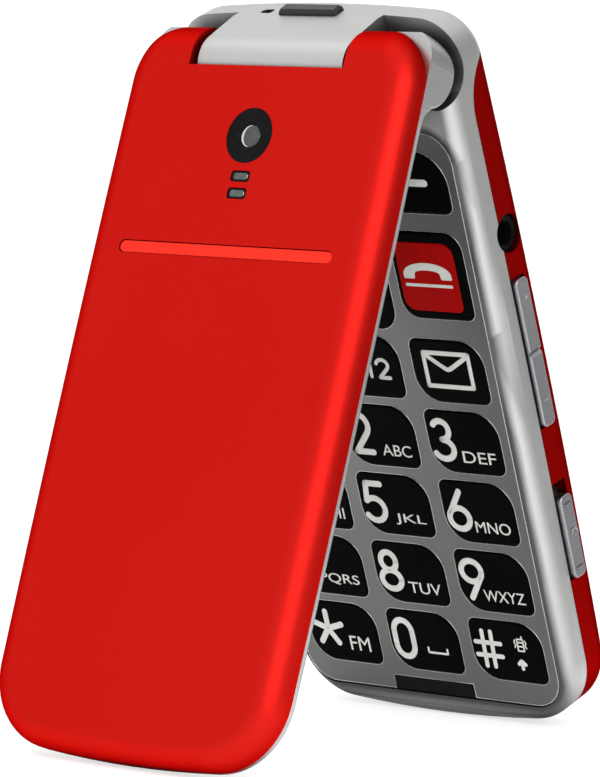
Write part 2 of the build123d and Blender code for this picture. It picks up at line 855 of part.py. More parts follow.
side_keys = [
    (rocker_top - side_gap, rocker_bottom + side_gap),
    (slider_top - slider_travel - 2 * side_gap, slider_bottom + side_gap),
]
bay_centre = (0, -(bay_top + bay_bottom) / 2)
bay_along = bay_bottom - bay_top
housing_seam = base_seam - seam_gap
deck_back = housing_seam - deck_thick
sim_spot = (-sim_aside, -sim_at)
form_middle = (head_reach - base_length) / 2


def back_layer(outer, inner):
    """Side profile between two levels measured in from the bowed back."""
    with BuildSketch(side_plane(base_plane, -far / 2)) as sketch:
        with BuildLine():
            skin = ThreePointArc(
                (head_reach + 1, back_ends + outer),
                (form_middle, base_back + outer),
                (-base_length - 1, back_ends + outer),
            )
            core = ThreePointArc(
                (head_reach + 1, back_ends + inner),
                (form_middle, base_back + inner),
                (-base_length - 1, back_ends + inner),
            )
            Line(skin @ 0, core @ 0)
            Line(skin @ 1, core @ 1)
        make_face()
    return sketch.sketch


def cover_blank(gap=0.0):
    """Battery cover, or with a gap the recess that takes it."""
    with BuildPart(mode=Mode.PRIVATE) as blank:
        extrude(back_layer(-gap * far / 10, cover_thick + gap), amount=far)
        extrude(
            panel(
                base_plane.offset(base_back - back_round),
                (0, -(cover_top + cover_bottom) / 2),
                width - 2 * cover_side + 2 * gap,
                cover_bottom - cover_top + 2 * gap,
                cover_corner + gap,
            ),
            amount=2 * back_round,
            mode=Mode.INTERSECT,
        )
    return blank.part


with BuildPart(mode=Mode.PRIVATE) as housing_room:
    extrude(
        outline(base_plane.offset(room_floor), base_length, rear_wall - housing_head, inset=rear_wall),
        amount=-room_floor,
    )
    extrude(
        panel(
            base_plane.offset(room_floor),
            bay_centre,
            bay_across + 2 * bay_wall,
            bay_along + 2 * bay_wall,
            bay_corner + bay_wall,
        ),
        amount=-room_floor,
        mode=Mode.SUBTRACT,
    )

with BuildPart() as rear_housing:
    add(base_form.part)
    extrude(behind_seam(seam_gap), amount=far, mode=Mode.INTERSECT)
    add(housing_room.part, mode=Mode.SUBTRACT)
    add(cover_blank(cover_gap), mode=Mode.SUBTRACT)
    # battery bay, open to the back, with a window in its deck for the SIM holder
    extrude(
        panel(base_plane.offset(deck_back), bay_centre, bay_across, bay_along, bay_corner),
        amount=base_back,
        mode=Mode.SUBTRACT,
    )
    sim_window = (sim_across - 2 * sim_rim, sim_along - 2 * sim_rim)
    extrude(
        panel(base_plane.offset(deck_back - 1), sim_spot, *sim_window, sim_rim),
        amount=deck_thick + 2,
        mode=Mode.SUBTRACT,
    )
    # loudspeaker seat with its grille
    extrude(
        panel(
            base_plane.offset(base_back + rear_wall),
            (0, -speaker_at),
            speaker_across + 2 * speaker_gap,
            speaker_along + 2 * speaker_gap,
            speaker_corner + speaker_gap,
        ),
        amount=-base_back,
        mode=Mode.SUBTRACT,
    )
    with BuildSketch(base_plane.offset(base_back - 1)):
        with Locations((0, -speaker_at)):
            with GridLocations(0, grille_pitch, 1, grille_slots):
                SlotOverall(*grille_slot)
    extrude(amount=2 * rear_wall, mode=Mode.SUBTRACT)
    # side openings: volume rocker, torch switch, headphone jack and charging socket
    for top, bottom in side_keys:
        back_edge = rocker_back - side_gap
        slot = profile(
            base_plane,
            [(-top, 0), (-top, back_edge), (-bottom, back_edge), (-bottom, 0)],
            width / 2 - rear_wall - 1,
        )
        extrude(slot, amount=far, mode=Mode.SUBTRACT)
    extrude(
        disc(side_plane(base_plane, width / 2 - rear_wall - 1), (-jack_at, jack_depth), jack_recess),
        amount=far,
        mode=Mode.SUBTRACT,
    )
    extrude(usb_mouth(), amount=-far, mode=Mode.SUBTRACT)
keep(rear_housing, "rear_housing")

with BuildPart() as battery_cover:
    add(cover_blank())
    fillet(battery_cover.faces().sort_by(base_out)[0].edges(), radius=cover_edge)
    # nail notch at the head end
    extrude(
        disc(base_plane.offset(base_back - 1), (0, -notch_at), notch_radius),
        amount=1 + back_bow / 2 + cover_thick / 2,
        mode=Mode.SUBTRACT,
    )
keep(battery_cover, "battery_cover")

# ---------------------------------------------------------------------------
# Keys. Each is given by its centre, its size and the roundings of its corners at
# bottom left, bottom right, top left and top right.
# ---------------------------------------------------------------------------
key_edge = 0.25
nav_half = 7.6
beside_nav = nav_half + 2.0                  # inner side of the keys beside the navigation key
soft_outer = plate_half - 1.75               # soft keys, from the middle line
soft_top, soft_bottom = 13.6, 23.0
soft_sweep = 5.5
talk_outer = plate_half - 1.65               # call and end keys
talk_top, talk_bottom = 26.1, 39.6
talk_wide_corner = 3.0
talk_face_outer = talk_outer - 1.6
talk_face_inner = beside_nav + 0.6
talk_face_top, talk_face_bottom = 27.7, 38.5
talk_face_thick = 0.5
talk_face_round = 0.12
nav_top, nav_bottom = 19.0, 41.8
nav_corner = 3.0
ok_size = (6.8, 7.8)
ok_corner = 2.0
nav_clear = 0.2                              # between OK key and ring
nav_drop = 0.5                               # room for the ring to tilt under the plate
nav_flange = 0.3
nav_roof = 0.95
ok_flange = 0.5
web_size = (11.2, 17.4)
web_corner = 1.3
web_thick = 0.7
web_gap = 0.2
web_window = 0.8                             # opening of the web, round the OK key
mic_half = 7.6
mic_top = plate_bottom - 2.35
mic_corner = 0.4
mic_round = 0.2
mic_proud = 0.1

key_top = plate_face + key_crown
key_foot = key_top - key_depth
plate_back = plate_face - plate_thick
flange_top = plate_back - flange_gap
wide, tight = key_wide_corner, key_tight_corner


def key_shape(plane, spot, size, radii, grow=0.0):
    """Outline of a key, or with grow that of its flange or of its hole."""
    across, along = size[0] / 2 + grow, size[1] / 2 + grow
    with BuildSketch(plane) as sketch:
        with Locations(spot):
            Rectangle(2 * across, 2 * along)
        for corner, radius in enumerate(radii):
            x = spot[0] + (across if corner % 2 else -across)
            y = spot[1] + (along if corner // 2 else -along)
            fillet(sketch.vertices().sort_by_distance((x, y))[0], radius=radius + grow)
    return sketch.sketch


def mirrored(radii):
    return (radii[1], radii[0], radii[3], radii[2])


def upright(outer, inner, top, bottom):
    """Centre and size of a right-hand key from its four sides."""
    return ((outer + inner) / 2, -(top + bottom) / 2), (outer - inner, bottom - top)


leaf = (wide, tight, tight, wide)
soft_spot, soft_size = upright(soft_outer, beside_nav, soft_top, soft_bottom)
soft_radii = (tight, tight, tight, soft_sweep)
talk_spot, talk_size = upright(talk_outer, beside_nav, talk_top, talk_bottom)
talk_radii = (talk_wide_corner, tight, tight, talk_wide_corner)
face_spot, face_size = upright(talk_face_outer, talk_face_inner, talk_face_top, talk_face_bottom)
face_wide, face_tight = talk_wide_corner - 1, tight - 0.3
face_radii = (face_wide, face_tight, face_tight, face_wide)
nav_spot = (0, -(nav_top + nav_bottom) / 2)
nav_size = (2 * nav_half, nav_bottom - nav_top)
nav_radii = (nav_corner,) * 4

keys = {
    "softkey_right": (soft_spot, soft_size, soft_radii),
    "softkey_left": ((-soft_spot[0], soft_spot[1]), soft_size, mirrored(soft_radii)),
    "end_key": (talk_spot, talk_size, talk_radii),
    "call_key": ((-talk_spot[0], talk_spot[1]), talk_size, mirrored(talk_radii)),
}
names = [
    ("memory_key_1", "memory_key_2", "message_key"),
    ("key_1", "key_2", "key_3"),
    ("key_4", "key_5", "key_6"),
    ("key_7", "key_8", "key_9"),
    ("key_star", "key_0", "key_hash"),
]
for row, row_names in enumerate(names):
    for column, name in enumerate(row_names):
        spot = ((column - 1) * column_pitch, -first_row - row * row_pitch)
        keys[name] = (spot, (key_width, key_height), leaf)

for name, (spot, size, radii) in keys.items():
    with BuildPart() as key:
        extrude(key_shape(base_plane.offset(key_foot), spot, size, radii), amount=key_depth)
        fillet(key.edges().group_by(base_out)[-1], radius=key_edge)
        extrude(
            key_shape(base_plane.offset(flange_top), spot, size, radii, grow=flange_width),
            amount=-flange_thick,
        )
        if name in ("end_key", "call_key"):
            side = 1 if name == "end_key" else -1
            corners = face_radii if side > 0 else mirrored(face_radii)
            inset_spot = (side * face_spot[0], face_spot[1])
            extrude(
                key_shape(base_plane.offset(key_top), inset_spot, face_size, corners, grow=trim_gap),
                amount=-talk_face_thick,
                mode=Mode.SUBTRACT,
            )
    keep(key, name)

for side, name in ((1, "end_key_face"), (-1, "call_key_face")):
    with BuildPart() as key_face:
        corners = face_radii if side > 0 else mirrored(face_radii)
        inset_spot = (side * face_spot[0], face_spot[1])
        face_foot = base_plane.offset(key_top - talk_face_thick)
        extrude(key_shape(face_foot, inset_spot, face_size, corners), amount=talk_face_thick)
        fillet(key_face.edges().group_by(base_out)[-1], radius=talk_face_round)
    keep(key_face, name)

# ring of the navigation key, its web and the OK key in the middle
ring_flange_top = plate_back - nav_drop
ring_foot = ring_flange_top - nav_flange
ring_roof = key_top - nav_roof
ok_radii = (ok_corner,) * 4
web_radii = (web_corner,) * 4
web_top = ring_roof - web_gap

with BuildPart() as nav_ring:
    ring_shape = key_shape(base_plane.offset(ring_foot), nav_spot, nav_size, nav_radii)
    extrude(ring_shape, amount=key_top - ring_foot)
    fillet(nav_ring.edges().group_by(base_out)[-1], radius=key_edge)
    extrude(
        key_shape(base_plane.offset(ring_foot), nav_spot, nav_size, nav_radii, grow=flange_width),
        amount=nav_flange,
    )
    extrude(
        key_shape(base_plane.offset(ring_roof), nav_spot, web_size, web_radii, grow=web_gap),
        amount=-far / 10,
        mode=Mode.SUBTRACT,
    )
    extrude(
        key_shape(base_plane.offset(ring_foot), nav_spot, ok_size, ok_radii, grow=nav_clear),
        amount=far / 10,
        mode=Mode.SUBTRACT,
    )
keep(nav_ring, "nav_ring")

with BuildPart() as nav_web:
    extrude(key_shape(base_plane.offset(web_top), nav_spot, web_size, web_radii), amount=-web_thick)
    extrude(
        key_shape(base_plane.offset(web_top), nav_spot, ok_size, ok_radii, grow=web_window),
        amount=-web_thick,
        mode=Mode.SUBTRACT,
    )
keep(nav_web, "nav_web")

with BuildPart() as nav_ok:
    extrude(key_shape(base_plane.offset(key_foot), nav_spot, ok_size, ok_radii), amount=key_depth)
    fillet(nav_ok.edges().group_by(base_out)[-1], radius=key_edge)
    ok_foot = key_shape(base_plane.offset(key_foot), nav_spot, ok_size, ok_radii, grow=ok_flange)
    extrude(ok_foot, amount=flange_thick)
keep(nav_ok, "nav_ok")

with BuildPart() as keypad_plate:
    extrude(
        panel(base_plane.offset(plate_back), plate_centre, 2 * plate_half, plate_along, plate_corner),
        amount=plate_thick,
    )
    fillet(keypad_plate.edges().group_by(base_out)[-1], radius=trim_round)
    for spot, size, radii in keys.values():
        extrude(
            key_shape(base_plane.offset(plate_back), spot, size, radii, grow=key_gap),
            amount=2 * plate_thick,
            mode=Mode.SUBTRACT,
        )
    extrude(
        key_shape(base_plane.offset(plate_back), nav_spot, nav_size, nav_radii, grow=key_gap),
        amount=2 * plate_thick,
        mode=Mode.SUBTRACT,
    )
    mic_notch = panel(
        base_plane.offset(plate_back),
        (0, -mic_top - plate_corner),
        2 * (mic_half + trim_gap),
        2 * (plate_corner + trim_gap),
    )
    extrude(mic_notch, amount=2 * plate_thick, mode=Mode.SUBTRACT)
keep(keypad_plate, "keypad_plate")

with BuildPart() as mic_strip:
    mic_along = plate_bottom - mic_top
    mic_spot = (0, -mic_top - mic_along / 2)
    extrude(
        panel(base_plane.offset(plate_back), mic_spot, 2 * mic_half, mic_along, mic_corner),
        amount=plate_thick + mic_proud,
    )
    fillet(mic_strip.edges().group_by(base_out)[-1], radius=mic_round)
keep(mic_strip, "mic_strip")

# ---------------------------------------------------------------------------
# Side keys, on the right
# ---------------------------------------------------------------------------
side_flange_thick = 0.8
side_flange_lap = 0.7
side_flange_corner = 0.5
side_key_corner = 0.9
side_key_round = 0.3
rocker_swing_gap = 0.42
slider_gap = 0.2
grip_in = 1.5                                # grip bars in from the ends of the slider
grip_width = 0.5
grip_proud = 0.2
side_wall_inner = width / 2 - rear_wall
rocker_middle = -(rocker_top + rocker_bottom) / 2
side_key_depth = (rocker_front + rocker_back) / 2
side_key_thick = rocker_front - rocker_back


def side_face(at):
    """Half width of the phone at a distance below the hinge axis."""
    from_middle = (at + form_middle) / ((base_length + head_reach) / 2)
    return width / 2 - side_bow * from_middle**2


def side_key(top, bottom, proud, lap, gap):
    """Cap of a side key standing out of its slot, with the flange behind it."""
    centre = (-(top + bottom) / 2, side_key_depth)
    flange_back = side_wall_inner - gap - side_flange_thick
    face_at = side_face((top + bottom) / 2) + proud
    with BuildPart(mode=Mode.PRIVATE) as key:
        extrude(
            panel(side_plane(base_plane, flange_back), centre, bottom - top, side_key_thick, side_key_corner),
            amount=face_at - flange_back,
        )
        fillet(key.edges().group_by(base_across)[-1], radius=side_key_round)
        extrude(
            panel(
                side_plane(base_plane, flange_back),
                (centre[0] - lap / 2, centre[1] - side_flange_lap / 2 + side_gap / 2),
                bottom - top + 2 * side_flange_lap + abs(lap),
                side_key_thick + side_flange_lap + side_gap,
                side_flange_corner,
            ),
            amount=side_flange_thick,
        )
    return key.part


with BuildPart() as volume_rocker:
    add(side_key(rocker_top, rocker_bottom, rocker_proud, 0, rocker_swing_gap))
    # groove between the two ends
    rocker_face = side_face(-rocker_middle) + rocker_proud
    with BuildSketch(base_plane.offset(rocker_back - 1)):
        with BuildLine():
            Polyline(
                (rocker_face - rocker_notch, rocker_middle),
                (rocker_face + rocker_notch, rocker_middle + 2 * rocker_notch),
                (rocker_face + rocker_notch, rocker_middle - 2 * rocker_notch),
                close=True,
            )
        make_face()
    extrude(amount=side_key_thick + 2, mode=Mode.SUBTRACT)
keep(volume_rocker, "volume_rocker")

with BuildPart() as torch_switch:
    add(side_key(slider_top, slider_bottom, slider_proud, slider_travel, slider_gap))
    # grip bars near both ends
    slider_face = side_face((slider_top + slider_bottom) / 2) + slider_proud
    with BuildSketch(side_plane(base_plane, slider_face - grip_proud)):
        with Locations((-(slider_top + slider_bottom) / 2, side_key_depth)):
            with GridLocations(slider_bottom - slider_top - 2 * grip_in, 0, 2, 1):
                SlotOverall(side_key_thick - 2 * grip_width, grip_width, rotation=90)
    extrude(amount=2 * grip_proud)
keep(torch_switch, "torch_switch")

# ---------------------------------------------------------------------------
# Hinge pins: the detent cartridge on the right, a hollow pin for the ribbon on the left
# ---------------------------------------------------------------------------
ribbon_bore = 1.3
pin_chamfer = 0.25
pin_start = barrel_half - pin_hold
with BuildPart() as hinge_cartridge:
    add(barrel(base_plane, pin_radius, pin_start, pin_length))
    chamfer(hinge_cartridge.edges().filter_by(GeomType.CIRCLE), length=pin_chamfer)
keep(hinge_cartridge, "hinge_cartridge")

with BuildPart() as hinge_pin:
    add(barrel(base_plane, pin_radius, -pin_start - pin_length, pin_length))
    chamfer(hinge_pin.edges().filter_by(GeomType.CIRCLE), length=pin_chamfer)
    add(barrel(base_plane, ribbon_bore, -pin_start - pin_length - 1, pin_length + 2), mode=Mode.SUBTRACT)
keep(hinge_pin, "hinge_pin")

# ---------------------------------------------------------------------------
# Keypad half: what it holds
# ---------------------------------------------------------------------------
membrane_front = -4.95
membrane_thick = 0.35
dome_radius = 2.4
dome_height = 0.25
membrane_margin = 0.5
board_gap = 0.05
board_thick = 0.8
board_margin = 0.4
can_height = 0.9
can_corner = 0.8
battery_gap = 0.3
battery_thick = 3.7
battery_corner = 1.5
battery_round = 0.5
room_gap = 0.05                              # under pieces that lie in the rear housing
motor_radius = 3.9
motor_thick = 2.7
jack_body_along = 6.4
jack_body_corner = 0.5
jack_body_start = width / 2 - 14.5
jack_gap = 0.1
jack_bore = 1.8
jack_collar = 2.75
jack_collar_sunk = 0.9
usb_sunk = 0.6
usb_length = 5.6
usb_wall = 0.35
usb_floor = 0.8
usb_tongue = (3.8, 0.6)
lens_chamfer = 0.45

# shield cans on the main board: distance right of the middle line and below the hinge
# axis, then their size across and along
cans = [(0, 19, 20, 13), (5, 80, 28, 18), (9, 58, 14, 14)]

membrane_back = membrane_front - membrane_thick
board_front = membrane_back - board_gap
board_back = board_front - board_thick
room_half = width / 2 - frame_wall

with BuildPart() as keypad_membrane:
    membrane_size = (2 * ledge_half - 2 * membrane_margin, plate_along - 4 * ledge_lap)
    membrane_corner = plate_corner - ledge_lap
    membrane_plane = base_plane.offset(membrane_front)
    add(slab(membrane_plane, plate_centre, *membrane_size, -membrane_thick, membrane_corner))
    with BuildSketch(base_plane.offset(membrane_front)):
        with Locations(*[spot for spot, size, radii in keys.values()]):
            Circle(dome_radius)
    extrude(amount=dome_height)
keep(keypad_membrane, "keypad_membrane")

with BuildPart() as main_board:
    board_inset = frame_wall + board_margin
    extrude(
        outline(base_plane.offset(board_back), base_length, board_inset - room_head - 1, inset=board_inset),
        amount=board_thick,
    )
    for can_right, can_down, can_across, can_along in cans:
        can_spot = (can_right, -can_down)
        add(slab(base_plane.offset(board_back), can_spot, can_across, can_along, -can_height, can_corner))
keep(main_board, "main_board")

with BuildPart() as sim_holder:
    sim_thick = board_back - housing_seam - 2 * trim_gap
    sim_plane = base_plane.offset(housing_seam + trim_gap)
    add(slab(sim_plane, sim_spot, sim_across, sim_along, sim_thick, sim_corner))
keep(sim_holder, "sim_holder")

with BuildPart() as battery:
    add(
        slab(
            base_plane.offset(deck_back - battery_gap / 2),
            bay_centre,
            bay_across - 2 * battery_gap,
            bay_along - 2 * battery_gap,
            -battery_thick,
            battery_corner,
        )
    )
    fillet(battery.edges().filter_by(base_out, reverse=True), radius=battery_round)
keep(battery, "battery")

with BuildPart() as loudspeaker:
    speaker_plane = base_plane.offset(base_back + rear_wall + room_gap)
    add(slab(speaker_plane, (0, -speaker_at), speaker_across, speaker_along, speaker_thick, speaker_corner))
keep(loudspeaker, "loudspeaker")

with BuildPart() as vibration_motor:
    motor_at = bay_bottom + bay_wall + motor_radius + speaker_gap
    extrude(disc(base_plane.offset(room_floor + room_gap), (0, -motor_at), motor_radius), amount=motor_thick)
keep(vibration_motor, "vibration_motor")

with BuildPart() as jack_socket:
    jack_front = board_back - jack_gap
    jack_back = room_floor + jack_gap
    body_end = room_half - side_bow - room_gap
    extrude(
        panel(
            side_plane(base_plane, jack_body_start),
            (-jack_at, (jack_front + jack_back) / 2),
            jack_body_along,
            jack_front - jack_back,
            jack_body_corner,
        ),
        amount=body_end - jack_body_start,
    )
    collar_end = side_face(jack_at) - jack_collar_sunk
    jack_spot = (-jack_at, jack_depth)
    extrude(disc(side_plane(base_plane, body_end), jack_spot, jack_collar), amount=collar_end - body_end)
    extrude(
        disc(side_plane(base_plane, collar_end), jack_spot, jack_bore),
        amount=jack_body_start - collar_end - 1,
        mode=Mode.SUBTRACT,
    )
keep(jack_socket, "jack_socket")

with BuildPart() as usb_socket:
    usb_start = usb_sunk - side_face(usb_at)
    usb_spot = (-usb_at, usb_depth)
    usb_plane = side_plane(base_plane, usb_start)
    usb_mouth_size = (usb_along - 2 * usb_wall, usb_high - 2 * usb_wall)
    extrude(panel(usb_plane, usb_spot, usb_along, usb_high, usb_corner), amount=usb_length)
    extrude(
        panel(usb_plane, usb_spot, *usb_mouth_size, usb_corner - usb_wall),
        amount=usb_length - usb_floor,
        mode=Mode.SUBTRACT,
    )
    extrude(panel(usb_plane.offset(1), usb_spot, *usb_tongue), amount=usb_length - 1)
keep(usb_socket, "usb_socket")

with BuildPart() as torch_lens:
    lens_plane = end_plane.offset(-lens_seat)
    extrude(panel(lens_plane, (0, 0), lens_across, lens_along, lens_corner), amount=lens_seat + lens_proud)
    lens_top = torch_lens.faces().sort_by(Axis(end_plane.origin, end_plane.z_dir))[-1]
    chamfer(lens_top.edges(), length=lens_chamfer)
keep(torch_lens, "torch_lens")
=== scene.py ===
import json
from math import cos, pi, radians, sin

import bmesh
import bpy
from mathutils import Matrix, Vector


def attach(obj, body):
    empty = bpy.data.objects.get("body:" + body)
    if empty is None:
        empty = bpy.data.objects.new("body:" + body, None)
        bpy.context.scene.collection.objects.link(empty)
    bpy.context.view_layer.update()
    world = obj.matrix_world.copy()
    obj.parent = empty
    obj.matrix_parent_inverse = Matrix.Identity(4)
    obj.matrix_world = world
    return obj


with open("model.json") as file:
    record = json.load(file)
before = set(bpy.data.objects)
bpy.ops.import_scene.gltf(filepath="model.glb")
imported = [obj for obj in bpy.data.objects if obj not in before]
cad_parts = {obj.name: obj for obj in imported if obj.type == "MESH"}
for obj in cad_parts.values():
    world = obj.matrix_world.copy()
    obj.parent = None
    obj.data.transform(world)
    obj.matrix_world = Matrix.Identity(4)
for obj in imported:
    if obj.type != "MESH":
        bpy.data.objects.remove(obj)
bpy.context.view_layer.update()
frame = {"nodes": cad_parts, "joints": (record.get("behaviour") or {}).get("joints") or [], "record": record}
parts = frame["nodes"]
mm = 0.001
print("frame loaded")


# places on the two halves: x across, y towards the hinge, z out of the outer or key face
def recordNamed(rows, name):
    return next(row for row in rows if row["name"] == name)


hinge = recordNamed(frame["joints"], "lid_hinge")
keyPress = recordNamed(frame["joints"], "key_5_press")
lidFace = recordNamed(frame["record"]["mounts"], "lid_face")


def halfPlace(outward):
    out = Vector(outward).normalized()
    across = Vector((1, 0, 0))
    place = Matrix((across, out.cross(across), out)).transposed().to_4x4()
    place.translation = Vector(hinge["pos_m"])
    return place


lidPlace = halfPlace(lidFace["axis"])
basePlace = halfPlace([-value for value in keyPress["axis"]])


def boxOf(points):
    columns = list(zip(*points))
    return Vector([min(column) for column in columns]), Vector([max(column) for column in columns])


def spanOf(name, place):
    back = place.inverted()
    return boxOf([back @ vertex.co for vertex in parts[name].data.vertices])


# where a drawing in millimetres goes on a piece, and half the piece's size in millimetres
def drawingOn(name, halfOfPhone, inside=False):
    low, high = spanOf(name, halfOfPhone)
    middle = (low + high) / 2
    level = low.z if inside else high.z
    place = halfOfPhone @ Matrix.Translation((middle.x, middle.y, level)) @ Matrix.Scale(mm, 4)
    return place, (high - low) / 2 / mm


# material nodes
def newNode(holder, kind, **values):
    node = holder.node_tree.nodes.new(kind)
    for key, value in values.items():
        setattr(node, key, value)
    return node


def wire(holder, source, target):
    holder.node_tree.links.new(source, target)


def grainNoise(material, scale, stretch=(1, 1, 1)):
    place = newNode(material, "ShaderNodeTexCoord")
    mapping = newNode(material, "ShaderNodeMapping")
    mapping.inputs["Scale"].default_value = stretch
    noise = newNode(material, "ShaderNodeTexNoise")
    noise.inputs["Scale"].default_value = scale
    wire(material, place.outputs["Object"], mapping.inputs["Vector"])
    wire(material, mapping.outputs["Vector"], noise.inputs["Vector"])
    return noise.outputs["Fac"]


# a source between start and end becomes low to high; noise keeps mostly between 0.3 and 0.7
def rangeOf(holder, source, low, high, start=0.3, end=0.7, **values):
    node = newNode(holder, "ShaderNodeMapRange", **values)
    node.inputs["From Min"].default_value = start
    node.inputs["From Max"].default_value = end
    node.inputs["To Min"].default_value = low
    node.inputs["To Max"].default_value = high
    wire(holder, source, node.inputs["Value"])
    return node.outputs["Result"]


def mixTones(material, factor, dark, light):
    node = newNode(material, "ShaderNodeMix", data_type="RGBA")
    for name, tone in (("A", dark), ("B", light)):
        target = next(socket for socket in node.inputs if socket.name == name and socket.type == "RGBA")
        if isinstance(tone, tuple):
            target.default_value = (*tone, 1)
        else:
            wire(material, tone, target)
    wire(material, factor, node.inputs["Factor"])
    return next(socket for socket in node.outputs if socket.type == "RGBA")


def darker(tone, share):
    return tuple(value * share for value in tone)


# painted shade: the frame is darker where it meets the key plate, standing in for the shadow along the
# plate's edge; the plate's corner, and where the dark ends
ledge = {"corner": 5 * mm, "fadeFrom": 0.5 * mm, "fadeTo": 1.5 * mm}


# 0 beside the key plate, 1 further out, the mask of the painted shade: distance from the rounded outline of
# the plate
def ledgeShadeMask(material):
    low, high = spanOf("keypad_plate", basePlace)
    place = newNode(material, "ShaderNodeTexCoord")
    local = newNode(material, "ShaderNodeMapping", vector_type="TEXTURE")
    local.inputs["Location"].default_value = basePlace @ ((low + high) / 2)
    local.inputs["Rotation"].default_value = basePlace.to_euler()
    wire(material, place.outputs["Object"], local.inputs["Vector"])
    step = local.outputs["Vector"]
    corner = ledge["corner"]
    reach = (high - low) / 2 - Vector((corner, corner, 0))
    for operation, value in (
        ("ABSOLUTE", None),
        ("SUBTRACT", (reach.x, reach.y, 0)),
        ("MAXIMUM", (0, 0, 0)),
        ("MULTIPLY", (1, 1, 0)),
    ):
        node = newNode(material, "ShaderNodeVectorMath", operation=operation)
        wire(material, step, node.inputs[0])
        if value:
            node.inputs[1].default_value = value
        step = node.outputs["Vector"]
    away = newNode(material, "ShaderNodeVectorMath", operation="LENGTH")
    wire(material, step, away.inputs[0])
    start, end = corner + ledge["fadeFrom"], corner + ledge["fadeTo"]
    return rangeOf(material, away.outputs["Value"], 0, 1, start, end)


# painted shade in narrow gaps and hollows: the colour darkens where ambient occlusion finds the surface
# closed in; a finish gives how far its gaps reach, in millimetres
creaseShade = {"samples": 8, "shade": 0.08, "closed": 0.1, "open": 0.8}


grainDepth = 0.01 * mm


# a moulded or painted finish: cloudy tone, fine grain, uneven gloss and a grain bump, and for some finishes
# painted shade in gaps and beside the key plate
def makeFinish(name, spec):
    material = bpy.data.materials.new(name)
    material.use_nodes = True
    shader = material.node_tree.nodes["Principled BSDF"]
    cloud = grainNoise(material, spec["cloud"])
    grain = grainNoise(material, spec["grain"], spec.get("stretch", (1, 1, 1)))
    blotched = mixTones(material, rangeOf(material, cloud, 0, 1), spec["dark"], spec["light"])
    fleck = rangeOf(material, grain, 0, spec.get("fleck", 0.15))
    tone = mixTones(material, fleck, blotched, spec.get("fleckTone", spec["light"]))
    # painted shade: darker colour where the surface is closed in
    if "creaseShade" in spec:
        near = newNode(material, "ShaderNodeAmbientOcclusion", samples=creaseShade["samples"])
        near.inputs["Distance"].default_value = spec["creaseShade"] * mm
        openness = rangeOf(material, near.outputs["AO"], 0, 1, creaseShade["closed"], creaseShade["open"])
        tone = mixTones(material, openness, darker(spec["dark"], creaseShade["shade"]), tone)
    # painted shade on the frame along the key plate
    if "ledge" in spec:
        tone = mixTones(material, ledgeShadeMask(material), darker(spec["dark"], spec["ledge"]), tone)
    wire(material, tone, shader.inputs["Base Color"])
    gloss = rangeOf(material, grain, *spec["gloss"])
    wire(material, gloss, shader.inputs["Roughness"])
    bump = newNode(material, "ShaderNodeBump")
    bump.inputs["Strength"].default_value = spec.get("bump", 0.2)
    bump.inputs["Distance"].default_value = grainDepth
    wire(material, grain, bump.inputs["Height"])
    wire(material, bump.outputs["Normal"], shader.inputs["Normal"])
    shader.inputs["Metallic"].default_value = spec.get("metallic", 0)
    shader.inputs["Specular IOR Level"].default_value = spec.get("specular", 0.5)
    shader.inputs["Specular Tint"].default_value = (*spec.get("rim", (1, 1, 1)), 1)
    shader.inputs["Coat Weight"].default_value = spec.get("coat", 0)
    shader.inputs["Coat Roughness"].default_value = spec.get("coatGloss", 0.1)
    shader.inputs["Emission Color"].default_value = (1, 1, 1, 1)
    shader.inputs["Emission Strength"].default_value = spec.get("glow", 0)
    return material


